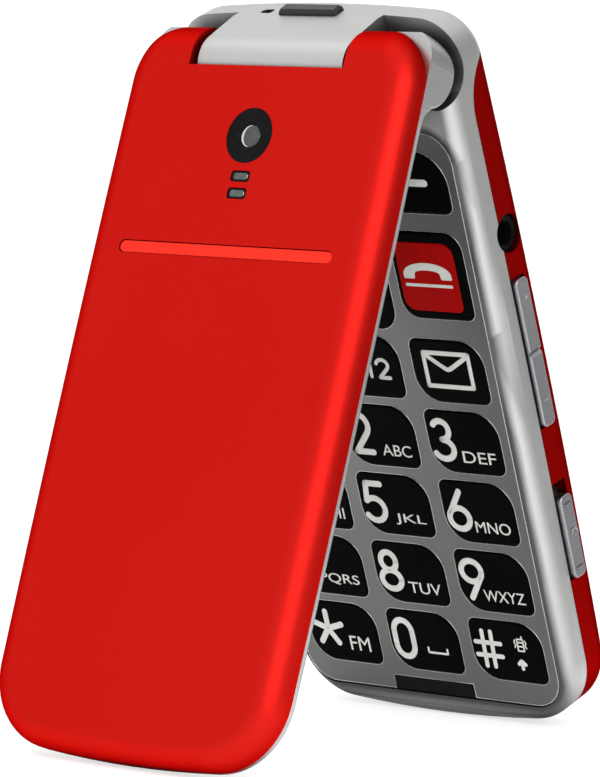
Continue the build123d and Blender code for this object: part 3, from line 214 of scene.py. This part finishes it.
finishes = {
    "cover_red": {
        "dark": (0.575, 0.0118, 0.0088), "light": (0.595, 0.0135, 0.0100), "cloud": 30, "grain": 6500,
        "gloss": (0.44, 0.52), "metallic": 1, "fleck": 0.12, "fleckTone": (0.80, 0.03, 0.02), "bump": 0.1,
        "creaseShade": 1.5, "rim": (0.25, 0.02, 0.02),
    },
    # a darker copy of the lid's red: painted shade for the base's red sides
    "shaded_red": {
        "dark": (0.350, 0.0066, 0.0052), "light": (0.370, 0.0076, 0.0060), "cloud": 30, "grain": 6500,
        "gloss": (0.38, 0.46), "metallic": 1, "fleck": 0.12, "fleckTone": (0.48, 0.01, 0.008), "bump": 0.1,
        "creaseShade": 3, "rim": (0.25, 0.05, 0.04),
    },
    "bar_red": {
        "dark": (0.92, 0.032, 0.016), "light": (0.98, 0.040, 0.020), "cloud": 60, "grain": 6000,
        "gloss": (0.38, 0.46), "metallic": 0.9, "bump": 0.1,
    },
    "housing_silver": {
        "dark": (0.47, 0.47, 0.465), "light": (0.51, 0.51, 0.505), "cloud": 50, "grain": 5200,
        "gloss": (0.26, 0.36), "metallic": 1, "fleck": 0.3, "fleckTone": (0.66, 0.66, 0.65), "bump": 0.16,
        "creaseShade": 7,
    },
    "frame_silver": {
        "dark": (0.49, 0.49, 0.485), "light": (0.53, 0.53, 0.525), "cloud": 50, "grain": 5200,
        "gloss": (0.38, 0.48), "metallic": 1, "fleck": 0.3, "fleckTone": (0.66, 0.66, 0.65), "bump": 0.16,
        "creaseShade": 9, "ledge": 0.2,
    },
    "plate_silver": {
        "dark": (0.150, 0.150, 0.148), "light": (0.172, 0.172, 0.170), "cloud": 55, "grain": 5600,
        "gloss": (0.32, 0.42), "metallic": 1, "fleck": 0.3, "fleckTone": (0.25, 0.25, 0.25), "bump": 0.18,
    },
    "side_silver": {
        "dark": (0.31, 0.31, 0.33), "light": (0.35, 0.35, 0.37), "cloud": 90, "grain": 7000,
        "gloss": (0.26, 0.36), "metallic": 1, "fleck": 0.2, "bump": 0.12,
    },
    "key_black": {
        "dark": (0.0006, 0.0006, 0.0006), "light": (0.0015, 0.0015, 0.0015), "cloud": 120, "grain": 4200,
        "gloss": (0.24, 0.34), "fleck": 0.3, "fleckTone": (0.004, 0.004, 0.004), "bump": 0.06,
        "specular": 0.02,
    },
    "end_red": {
        "dark": (0.33, 0.002, 0.0015), "light": (0.38, 0.003, 0.002), "cloud": 160, "grain": 5200,
        "gloss": (0.24, 0.34), "fleck": 0.1, "bump": 0.08, "specular": 0.03,
    },
    "call_green": {
        "dark": (0.01, 0.20, 0.045), "light": (0.014, 0.27, 0.06), "cloud": 160, "grain": 5200,
        "gloss": (0.24, 0.34), "fleck": 0.1, "bump": 0.08,
    },
    "gloss_black": {
        "dark": (0.004, 0.004, 0.0045), "light": (0.008, 0.008, 0.0085), "cloud": 140, "grain": 4800,
        "gloss": (0.2, 0.3), "fleck": 0.2, "bump": 0.05, "specular": 0.04,
    },
    "gloss_grey": {
        "dark": (0.006, 0.0055, 0.0055), "light": (0.010, 0.009, 0.009), "cloud": 140, "grain": 4800,
        "gloss": (0.2, 0.3), "fleck": 0.2, "bump": 0.05, "specular": 0.42,
    },
    "lens_glass": {
        "dark": (0.020, 0.021, 0.023), "light": (0.040, 0.041, 0.045), "cloud": 500, "grain": 6000,
        "gloss": (0.05, 0.09), "fleck": 0.1, "bump": 0.03, "coat": 0.5, "coatGloss": 0.03,
    },
    "window_glass": {
        "dark": (0.060, 0.066, 0.060), "light": (0.105, 0.115, 0.105), "cloud": 700, "grain": 6000,
        "gloss": (0.08, 0.14), "fleck": 0.1, "bump": 0.03, "specular": 0.3,
    },
    "display_grey": {
        "dark": (0.014, 0.017, 0.021), "light": (0.020, 0.024, 0.029), "cloud": 90, "grain": 5000,
        "gloss": (0.10, 0.16), "fleck": 0.1, "bump": 0.02, "coat": 0.6, "coatGloss": 0.04,
    },
    "screen_glass": {
        "dark": (0.004, 0.005, 0.007), "light": (0.008, 0.009, 0.012), "cloud": 60, "grain": 5000,
        "gloss": (0.06, 0.10), "fleck": 0.1, "bump": 0.02, "coat": 1, "coatGloss": 0.02,
    },
    "inner_metal": {
        "dark": (0.44, 0.44, 0.43), "light": (0.56, 0.56, 0.55), "cloud": 180, "grain": 3200,
        "gloss": (0.28, 0.42), "metallic": 1, "stretch": (1, 0.1, 1), "bump": 0.2,
    },
    "pin_steel": {
        "dark": (0.48, 0.48, 0.48), "light": (0.60, 0.60, 0.60), "cloud": 220, "grain": 4200,
        "gloss": (0.20, 0.32), "metallic": 1, "stretch": (0.1, 1, 1), "bump": 0.15,
    },
    "board_green": {
        "dark": (0.006, 0.060, 0.022), "light": (0.012, 0.100, 0.040), "cloud": 260, "grain": 2600,
        "gloss": (0.30, 0.42), "fleck": 0.3, "fleckTone": (0.05, 0.16, 0.06), "bump": 0.3,
    },
    "inner_black": {
        "dark": (0.0015, 0.0015, 0.0017), "light": (0.004, 0.004, 0.0042), "cloud": 150, "grain": 3000,
        "gloss": (0.45, 0.60), "fleck": 0.3, "bump": 0.35, "specular": 0.1,
    },
    "mesh_metal": {
        "dark": (0.03, 0.03, 0.032), "light": (0.06, 0.06, 0.062), "cloud": 300, "grain": 5200,
        "gloss": (0.35, 0.5), "metallic": 0.9, "fleck": 0.5, "fleckTone": (0.3, 0.3, 0.3), "bump": 0.6,
    },
    "bumper_rubber": {
        "dark": (0.10, 0.10, 0.10), "light": (0.15, 0.15, 0.15), "cloud": 300, "grain": 3600,
        "gloss": (0.6, 0.75), "fleck": 0.2, "bump": 0.3,
    },
    # bright silver: the side keys' raised marks, and the painted highlights on the indicator windows, the
    # lens and the key plate's rims
    "edge_bright": {
        "dark": (0.62, 0.62, 0.61), "light": (0.72, 0.72, 0.71), "cloud": 80, "grain": 5200,
        "gloss": (0.22, 0.32), "metallic": 1, "fleck": 0.2, "bump": 0.1,
    },
    "print_white": {
        "dark": (0.60, 0.61, 0.57), "light": (0.70, 0.71, 0.67), "cloud": 400, "grain": 4000,
        "gloss": (0.45, 0.6), "fleck": 0.2, "bump": 0.12,
    },
}
# parts whose finish differs from what their slot says; the rear housing and battery cover take a darker copy
# of the lid's red, painted shade on the base's sides
ownFinish = {
    "rear_housing": "shaded_red", "battery_cover": "shaded_red", "front_frame": "frame_silver",
    "torch_lens": "gloss_grey",
}

materials = {name: makeFinish(name, spec) for name, spec in finishes.items()}
for name, part in parts.items():
    for holder in part.material_slots:
        holder.material = materials[ownFinish.get(name, holder.material.name.split(".")[0])]
print("materials made")


# new pieces: curves and words become meshes with their seams closed
weld = 1e-6


def toMesh(data):
    holder = bpy.data.objects.new("draft", data)
    bpy.context.scene.collection.objects.link(holder)
    bpy.context.view_layer.update()
    mesh = bpy.data.meshes.new_from_object(holder)
    bpy.data.objects.remove(holder)
    shape = bmesh.new()
    shape.from_mesh(mesh)
    bmesh.ops.remove_doubles(shape, verts=shape.verts, dist=weld)
    for face in shape.faces:
        face.smooth = False
    shape.to_mesh(mesh)
    shape.free()
    return mesh


def smooth(mesh):
    for face in mesh.polygons:
        face.use_smooth = True
    return mesh


def addPiece(name, mesh, finish, body, place):
    mesh.transform(place)
    mesh.materials.clear()
    mesh.materials.append(materials[finish])
    piece = bpy.data.objects.new(name, mesh)
    bpy.context.scene.collection.objects.link(piece)
    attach(piece, body)


def arc(centreX, centreY, radiusX, radiusY, start, end, steps=14):
    turns = [radians(start + (end - start) * step / steps) for step in range(steps + 1)]
    return [(centreX + radiusX * cos(turn), centreY + radiusY * sin(turn)) for turn in turns]


# strokes are pressed flat so that they lie on a key like thick ink; filled shapes and words are thin slabs
pressedFlat = 0.07
inkThick = 0.035
# a stroke's first and last stretch, so short that the cap behind it can't bend the shading of the rest
shortEnd = 0.01


def newCurve(dimensions):
    curve = bpy.data.curves.new("stroke", "CURVE")
    curve.dimensions = dimensions
    return curve


def addLine(curve, points, cyclic=False):
    line = curve.splines.new("POLY")
    line.points.add(len(points) - 1)
    line.use_cyclic_u = cyclic
    for point, spot in zip(line.points, points):
        point.co = (*spot, 0, 1) if len(spot) == 2 else (*spot, 1)


def withShortEnds(path):
    points = [Vector(spot) for spot in path]
    first = points[0] + (points[1] - points[0]).normalized() * shortEnd
    last = points[-1] + (points[-2] - points[-1]).normalized() * shortEnd
    return [points[0], first, *points[1:-1], last, points[-1]]


# round-ended strokes along centre lines
def strokeMesh(paths, width):
    curve = newCurve("3D")
    curve.bevel_depth = width / 2
    curve.bevel_resolution = 3
    for path in paths:
        addLine(curve, withShortEnds(path))
    mesh = toMesh(curve)
    shape = bmesh.new()
    shape.from_mesh(mesh)
    bmesh.ops.holes_fill(shape, edges=[edge for edge in shape.edges if edge.is_boundary])
    for path in paths:
        for spot in (path[0], path[-1]):
            bmesh.ops.create_uvsphere(
                shape, u_segments=16, v_segments=10, radius=width / 2, matrix=Matrix.Translation((*spot, 0))
            )
    bmesh.ops.scale(shape, vec=(1, 1, pressedFlat), verts=shape.verts)
    bmesh.ops.recalc_face_normals(shape, faces=shape.faces)
    shape.to_mesh(mesh)
    shape.free()
    return smooth(mesh)


def fillMesh(points):
    curve = newCurve("2D")
    curve.fill_mode = "BOTH"
    curve.extrude = inkThick
    addLine(curve, points, cyclic=True)
    return toMesh(curve)


def wordMesh(words, tall, left, right, foot, bold=0.0):
    curve = bpy.data.curves.new("words", "FONT")
    curve.body = words
    curve.size = 1
    curve.offset = bold
    curve.extrude = inkThick
    mesh = toMesh(curve)
    low, high = boxOf([vertex.co for vertex in mesh.vertices])
    mesh.transform(Matrix.Translation((-low.x, -low.y, 0)))
    mesh.transform(Matrix.Diagonal(((right - left) / (high.x - low.x), tall / (high.y - low.y), 1, 1)))
    mesh.transform(Matrix.Translation((left, foot, 0)))
    return mesh


def printOn(key, label, mesh):
    addPiece(label, mesh, "print_white", key, drawingOn(key, basePlace)[0])


# digits on a square one high and about 0.66 wide, as centre lines
digits = {
    "1": [[(0.12, 0.74), (0.34, 0.93)], [(0.34, 0.93), (0.34, 0.07)]],
    "2": [
        arc(0.32, 0.67, 0.25, 0.26, 165, -35), [(0.525, 0.52), (0.155, 0.07)], [(0.155, 0.07), (0.59, 0.07)],
    ],
    "3": [arc(0.30, 0.72, 0.21, 0.21, 145, -90), arc(0.30, 0.29, 0.26, 0.22, 90, -150)],
    "4": [[(0.44, 0.93), (0.06, 0.31)], [(0.06, 0.31), (0.62, 0.31)], [(0.46, 0.5), (0.46, 0.07)]],
    "5": [[(0.54, 0.93), (0.16, 0.93)], [(0.16, 0.93), (0.11, 0.52)], arc(0.29, 0.33, 0.27, 0.26, 130, -145)],
    "6": [arc(0.33, 0.31, 0.26, 0.24, 0, 360, 24), [(0.085, 0.39), (0.43, 0.93)]],
    "7": [[(0.08, 0.93), (0.58, 0.93)], [(0.58, 0.93), (0.24, 0.07)]],
    "8": [arc(0.33, 0.72, 0.20, 0.21, 0, 360, 24), arc(0.33, 0.29, 0.26, 0.22, 0, 360, 24)],
    "9": [arc(0.33, 0.69, 0.26, 0.24, 0, 360, 24), [(0.575, 0.61), (0.23, 0.07)]],
    "0": [
        arc(0.32, 0.66, 0.24, 0.27, 0, 180), [(0.08, 0.66), (0.08, 0.34)],
        arc(0.32, 0.34, 0.24, 0.27, 180, 360), [(0.56, 0.34), (0.56, 0.66)],
    ],
    "*": [
        [(0.44, 0.52), (0.44 + 0.40 * cos(radians(turn)), 0.52 + 0.40 * sin(radians(turn)))]
        for turn in (90, 18, 162, -54, -126)
    ],
    "#": [
        [(0.26, 0.90), (0.24, 0.08)], [(0.49, 0.90), (0.46, 0.08)],
        [(0.05, 0.63), (0.70, 0.63)], [(0.05, 0.33), (0.70, 0.33)],
    ],
}


def digitPaths(digit, left, foot, tall, wide):
    return [[(left + x * wide, foot + y * tall) for x, y in path] for path in digits[digit]]


# on the digit keys, from the key's middle; the radio's letters under the star are larger
legend = {
    "digitLeft": -6.1, "digitFoot": -3.35, "digitTall": 7.1, "stroke": 1.02, "hashStroke": 0.765,
    "letters": {"tall": 1.85, "right": 5.4, "foot": -3.2},
    "radio": {"tall": 2.4, "right": 4.8, "foot": -2.9},
}
# what stands on each key: its digit, its letters and where the letters start
keyWords = {
    "key_1": ("1", "", 0),
    "key_2": ("2", "ABC", -0.1),
    "key_3": ("3", "DEF", -0.7),
    "key_4": ("4", "GHI", 0.6),
    "key_5": ("5", "JKL", -0.4),
    "key_6": ("6", "MNO", -1.05),
    "key_7": ("7", "PQRS", -2.2),
    "key_8": ("8", "TUV", -0.7),
    "key_9": ("9", "WXYZ", -2.2),
    "key_star": ("*", "FM", 0.9),
    "key_0": ("0", "", 0),
    "key_hash": ("#", "", 0),
}
for key, (digit, letters, left) in keyWords.items():
    tall = legend["digitTall"]
    paths = digitPaths(digit, legend["digitLeft"], legend["digitFoot"], tall, tall)
    printOn(key, "print_" + key, strokeMesh(paths, legend["hashStroke" if digit == "#" else "stroke"]))
    if letters:
        size = legend["radio" if letters == "FM" else "letters"]
        printOn(key, "letters_" + key, wordMesh(letters, left=left, **size))
print("digits printed")

# small signs on the other keys, as strokes: name of the key, width of the stroke and its centre lines
signs = {
    "space": (
        "key_0", 0.36,
        [[(0.5, -0.95), (0.5, -1.72)], [(0.5, -1.72), (4.1, -1.72)], [(4.1, -1.72), (4.1, -0.95)]],
    ),
    "softRight": ("softkey_right", 1.15, [[(-2.4, 0), (2.4, 0)]]),
    "softLeft": ("softkey_left", 1.15, [[(-2.4, 0), (2.4, 0)]]),
    "envelope": (
        "message_key", 0.72,
        [
            [(-4.2, 2.9), (4.0, 2.9)], [(4.0, 2.9), (4.0, -2.4)], [(4.0, -2.4), (-4.2, -2.4)],
            [(-4.2, -2.4), (-4.2, 2.9)], [(-4.0, 2.6), (-0.7, 0.55)], arc(-0.1, 1.2, 0.85, 0.85, 228, 312, 6),
            [(0.5, 0.55), (3.8, 2.6)],
        ],
    ),
    "hangUpLine": ("end_key", 0.5, [[(-4.7, -1.55), (3.5, -1.55)]]),
    "arrow": (
        "key_hash", 0.62,
        [[(2.35, -1.35), (2.35, -2.65)], [(1.75, -1.9), (2.35, -1.3)], [(2.95, -1.9), (2.35, -1.3)]],
    ),
    "handset": (
        "key_hash", 0.26,
        [
            [(2.15, 2.3), (3.25, 2.3)], [(3.25, 2.3), (3.25, 0.35)], [(3.25, 0.35), (2.15, 0.35)],
            [(2.15, 0.35), (2.15, 2.3)], [(3.1, 2.3), (3.1, 2.75)], [(2.4, 1.75), (3.0, 1.75)],
            [(2.4, 1.1), (3.0, 1.1)],
        ],
    ),
    "waves": (
        "key_hash", 0.24,
        [
            [(1.75, 2.1), (1.6, 1.7), (1.8, 1.3), (1.65, 0.9)],
            [(3.6, 2.1), (3.8, 1.7), (3.55, 1.3), (3.75, 0.9)],
        ],
    ),
}
for label, (key, width, paths) in signs.items():
    printOn(key, "sign_" + label, strokeMesh(paths, width))

# the receiver on the call and end keys: a bow with two square feet, mirrored on the call key
receiver = {
    "top": arc(-0.56, 0.1, 4.39, 1.91, 172, 8, 24),
    "rightFoot": [(3.83, -0.4), (3.68, -0.55), (2.0, -0.55), (1.85, -0.4), (1.75, 0.3)],
    "underside": arc(-0.56, 0.3, 2.31, 0.55, 20, 160, 12),
    "leftFoot": [(-2.87, 0.3), (-2.97, -0.4), (-3.12, -0.55), (-4.8, -0.55), (-4.95, -0.4)],
}
for key, side in (("end_key", 1), ("call_key", -1)):
    outline = [(side * x, y) for stretch in receiver.values() for x, y in stretch]
    printOn(key, "sign_receiver_" + key, fillMesh(outline))

# the two memory keys: M as strokes, and a digit of the same height
memory = {
    "letter": [
        [(-2.5, -1.67), (-2.5, 1.1)], [(-2.5, 1.1), (-0.8, -0.6)], [(-0.8, -0.6), (0.9, 1.1)],
        [(0.9, 1.1), (0.9, -1.67)],
    ],
    "left": 1.85, "foot": -1.98, "tall": 3.35, "wide": 4.288, "stroke": 0.62,
}
for key, digit in (("memory_key_1", "1"), ("memory_key_2", "2")):
    paths = digitPaths(digit, memory["left"], memory["foot"], memory["tall"], memory["wide"])
    printOn(key, "sign_M" + digit, strokeMesh(memory["letter"] + paths, memory["stroke"]))

okSign = {"tall": 1.9, "left": -1.9, "right": 1.9, "foot": -0.95, "bold": 0.01}
printOn("nav_ok", "sign_ok", wordMesh("OK", **okSign))
print("signs printed")


def roundedOutline(across, along, corner):
    outline = []
    for sideX, sideY, start in ((1, 1, 0), (-1, 1, 90), (-1, -1, 180), (1, -1, 270)):
        middleX, middleY = sideX * (across - corner), sideY * (along - corner)
        outline += arc(middleX, middleY, corner, corner, start, start + 90, 5)
    return outline


# glass inset in each indicator window, as a share of the window, and a bright edge at its right, a painted
# highlight
indicator = {"wide": 0.72, "tall": 0.62, "corner": 0.3, "edge": 0.22}
for name in ("indicator_window_upper", "indicator_window_lower"):
    place, reach = drawingOn(name, lidPlace)
    across, along, corner = indicator["wide"] * reach.x, indicator["tall"] * reach.y, indicator["corner"]
    addPiece(name + "_glass", fillMesh(roundedOutline(across, along, corner)), "window_glass", "lid", place)
    edge = strokeMesh([[(across, along - corner), (across, corner - along)]], indicator["edge"])
    addPiece(name + "_edge", edge, "edge_bright", "lid", place)

# painted highlight: a bright crescent left of the lens, inside its edge, thick in the middle and thin at its
# ends
lensHighlight = {"start": 95, "end": 265, "inset": 0.05, "middleThick": 0.27, "endThick": 0.05, "shift": 0.12}
place, reach = drawingOn("camera_lens", lidPlace)
outer = reach.x - lensHighlight["inset"]
innerWide, innerTall = outer - lensHighlight["middleThick"], outer - lensHighlight["endThick"]
crescent = arc(0, 0, outer, outer, lensHighlight["start"], lensHighlight["end"], 20)
crescent += arc(lensHighlight["shift"], 0, innerWide, innerTall, lensHighlight["end"], lensHighlight["start"], 20)
addPiece("lens_highlight", fillMesh(crescent), "edge_bright", "lid", place)

# arrows round the navigation key: how each is turned, and how far out it stands
navArrow = {
    "paths": [[(-0.85, -0.4), (0, 0.4)], [(0, 0.4), (0.85, -0.4)]], "stroke": 0.34,
    "turns": {"up": (0, 9.6), "left": (90, 5.9), "down": (180, 9.6), "right": (270, 5.9)},
}
for name, (turn, outward) in navArrow["turns"].items():
    mesh = strokeMesh(navArrow["paths"], navArrow["stroke"])
    mesh.transform(Matrix.Rotation(radians(turn), 4, "Z") @ Matrix.Translation((0, outward, 0)))
    printOn("nav_ring", "sign_nav_" + name, mesh)

# the active area of the inner display, seen through its window
displayInset = {"sides": 3, "ends": 4}
place, reach = drawingOn("display_window", lidPlace, inside=True)
right, top = reach.x - displayInset["sides"], reach.y - displayInset["ends"]
corners = [(right, top), (-right, top), (-right, -top), (right, -top)]
addPiece("display_area", fillMesh(corners), "display_grey", "lid", place)
print("windows, lens and display dressed")

# raised marks on the side keys, x down the key and y towards its back: a plus and a minus, a bow and a dot
sideMarks = {
    "volume_rocker": (
        0.16, [[(-8.6, 0.35), (-8.6, -0.35)], [(-8.95, 0), (-8.25, 0)], [(7.6, 0.4), (7.6, -0.4)]],
    ),
    "torch_switch": (0.18, [arc(-1.2, 0, 0.9, 0.7, 100, 260, 10), [(-1.0, -0.05), (-1.0, 0.05)]]),
}
markThick = 1.5
turnedRight = Matrix.Rotation(pi / 2, 4, "Y") @ Matrix.Scale(mm, 4)
for name, (width, paths) in sideMarks.items():
    low, high = spanOf(name, basePlace)
    middle = (low + high) / 2
    mesh = strokeMesh([[(y, -x) for x, y in path] for path in paths], width)
    mesh.transform(Matrix.Diagonal((1, 1, markThick, 1)))
    place = basePlace @ Matrix.Translation((high.x, middle.y, middle.z)) @ turnedRight
    addPiece("marks_" + name, mesh, "edge_bright", name, place)
print("side keys marked")

# bright rims where the key plate ends, thin tubes that stand in for its bevelled edges, in a silver brighter
# than the plate, so a painted highlight: round its outline and round every key hole
plateRim = {"radius": 0.05 * mm, "levelWithin": 0.02 * mm}


def rimLoops(name, place):
    shape = bmesh.new()
    shape.from_mesh(parts[name].data)
    bmesh.ops.transform(shape, matrix=place.inverted(), verts=shape.verts)
    level = max(vertex.co.z for vertex in shape.verts) - plateRim["levelWithin"]
    top = {face for face in shape.faces if all(vertex.co.z > level for vertex in face.verts)}
    rim = [edge for edge in shape.edges if len(top.intersection(edge.link_faces)) == 1]
    loops = []
    while rim:
        loop = list(rim.pop().verts)
        following = True
        while following:
            following = next((edge for edge in rim if loop[-1] in edge.verts), None)
            if following:
                rim.remove(following)
                loop.append(following.other_vert(loop[-1]))
        loops.append([vertex.co.copy() for vertex in loop[:-1]])
    shape.free()
    return loops


def rimMesh(name, place):
    curve = newCurve("3D")
    curve.bevel_depth = plateRim["radius"]
    curve.bevel_resolution = 2
    for loop in rimLoops(name, place):
        addLine(curve, loop, cyclic=True)
    return smooth(toMesh(curve))


addPiece("plate_rim_highlights", rimMesh("keypad_plate", basePlace), "edge_bright", "base", basePlace)
print("rims made")

# studio: distances in metres, the eye in millimetres
studio = {
    "floorSize": 60, "world": 1.0, "dim": 0.2, "dimSide": (0.766, 0.643, 0), "dimFrom": 0.5, "dimTo": 0.92,
    "lens": 227.59, "sensor": 36, "eye": (452.27, -557.00, 111.95), "aim": (0, 0, 0.054),
    "azimuth": 39.179, "elevation": 4.814, "roll": -0.710,
}

bpy.ops.mesh.primitive_plane_add(size=studio["floorSize"])
floor = bpy.context.object
floor.name = "floor"
floorPaint = makeFinish("floorPaint", {
    "dark": (0.50, 0.50, 0.50), "light": (0.52, 0.52, 0.52), "cloud": 3, "grain": 300, "gloss": (0.7, 0.8),
    "bump": 0, "glow": 0.66,
})
floor.data.materials.append(floorPaint)

# cards that only reflections see, fading towards their edges: place, length and width, turn and tilt,
# tone, glow and where the fading starts
cards = {
    "standing": (0.74, 0.48, 0.30, 1.5, 0.6, 35, 90, 0.32, 0, 0.42),
    "lying": (0.42, 0.29, 0.001, 1.3, 0.9, 35, 0, 0.36, 0, 0.28),
    "under": (0.0, 0.002, 0.0012, 0.15, 0.13, 0, 0, 0.9, 0.2, 0.25),
    "beside": (0.10, -0.035, 0.0016, 0.20, 0.13, 56, 0, 0.5, 1.1, 0.1),
}
# a card's tone varies by this share, and its UV map runs from 0 to 1, so its middle is at a half
toneVaries = 0.04
cardMiddle = 0.5


def fadeOut(paint, start):
    flat = newNode(paint, "ShaderNodeTexCoord")
    fromMiddle = newNode(paint, "ShaderNodeVectorMath", operation="DISTANCE")
    fromMiddle.inputs[1].default_value = (cardMiddle, cardMiddle, 0)
    wire(paint, flat.outputs["UV"], fromMiddle.inputs[0])
    shown = rangeOf(paint, fromMiddle.outputs["Value"], 1, 0, start, cardMiddle)
    wire(paint, shown, paint.node_tree.nodes["Principled BSDF"].inputs["Alpha"])


for name, (x, y, z, long, wide, turn, tilt, tone, glow, fade) in cards.items():
    bpy.ops.mesh.primitive_plane_add(size=1)
    card = bpy.context.object
    card.name = name + "Card"
    card.data.transform(
        Matrix.Translation((x, y, z)) @ Matrix.Rotation(radians(turn - 90), 4, "Z")
        @ Matrix.Rotation(radians(tilt), 4, "X") @ Matrix.Diagonal((long, wide, 1, 1))
    )
    paint = makeFinish(name + "Paint", {
        "dark": (tone * (1 - toneVaries),) * 3, "light": (tone * (1 + toneVaries),) * 3, "cloud": 8,
        "grain": 200, "gloss": (0.8, 0.9), "bump": 0, "glow": glow,
    })
    fadeOut(paint, fade)
    card.data.materials.append(paint)
    for visibility in ("camera", "diffuse", "shadow", "transmission"):
        setattr(card, "visible_" + visibility, False)

# white all round, dimmer behind on the right so that the phone's side reads darker than its faces
world = bpy.data.worlds.new("studio")
world.use_nodes = True
backdrop = world.node_tree.nodes["Background"]
backdrop.inputs["Color"].default_value = (1, 1, 1, 1)
heading = newNode(world, "ShaderNodeTexCoord")
towardsDim = newNode(world, "ShaderNodeVectorMath", operation="DOT_PRODUCT")
towardsDim.inputs[1].default_value = studio["dimSide"]
wire(world, heading.outputs["Generated"], towardsDim.inputs[0])
dimmed = rangeOf(
    world, towardsDim.outputs["Value"], studio["world"], studio["dim"], studio["dimFrom"], studio["dimTo"],
    interpolation_type="SMOOTHSTEP",
)
seen = newNode(world, "ShaderNodeLightPath")
brighter = newNode(world, "ShaderNodeMath", operation="MAXIMUM")
wire(world, dimmed, brighter.inputs[0])
wire(world, seen.outputs["Is Camera Ray"], brighter.inputs[1])
wire(world, brighter.outputs["Value"], backdrop.inputs["Strength"])
bpy.context.scene.world = world


# azimuth seen from the object, 0 is the front and 90 the right
def towards(azimuth, elevation):
    turn, lift = radians(azimuth), radians(elevation)
    return Vector((sin(turn) * cos(lift), -cos(turn) * cos(lift), sin(lift)))


# azimuth, elevation, distance, width, height and watts
softboxes = {
    "keySoftbox": (60, 27, 0.8, 0.75, 0.42, 3.0),
    "topSoftbox": (-60, 70, 0.8, 0.8, 0.7, 0.8),
}
for name, (azimuth, elevation, distance, width, height, power) in softboxes.items():
    lamp = bpy.data.lights.new(name, "AREA")
    lamp.shape = "RECTANGLE"
    lamp.size, lamp.size_y = width, height
    lamp.energy = power
    holder = bpy.data.objects.new(name, lamp)
    holder.location = Vector(studio["aim"]) + towards(azimuth, elevation) * distance
    holder.rotation_euler = towards(azimuth, elevation).to_track_quat("Z", "Y").to_euler()
    holder.visible_camera = False
    bpy.context.scene.collection.objects.link(holder)

eye = bpy.data.cameras.new("eye")
eye.sensor_fit = "VERTICAL"
eye.sensor_height = studio["sensor"]
eye.lens = studio["lens"]
camera = bpy.data.objects.new("eye", eye)
bpy.context.scene.collection.objects.link(camera)
back = towards(studio["azimuth"], studio["elevation"])
right = Vector((cos(radians(studio["azimuth"])), sin(radians(studio["azimuth"])), 0))
level = Matrix((right, back.cross(right), back)).transposed().to_4x4()
rolled = Matrix.Rotation(-radians(studio["roll"]), 4, "Z")
camera.matrix_world = Matrix.Translation(Vector(studio["eye"]) * mm) @ level @ rolled
bpy.context.scene.camera = camera
bpy.context.scene.view_settings.view_transform = "Standard"
print("studio set")
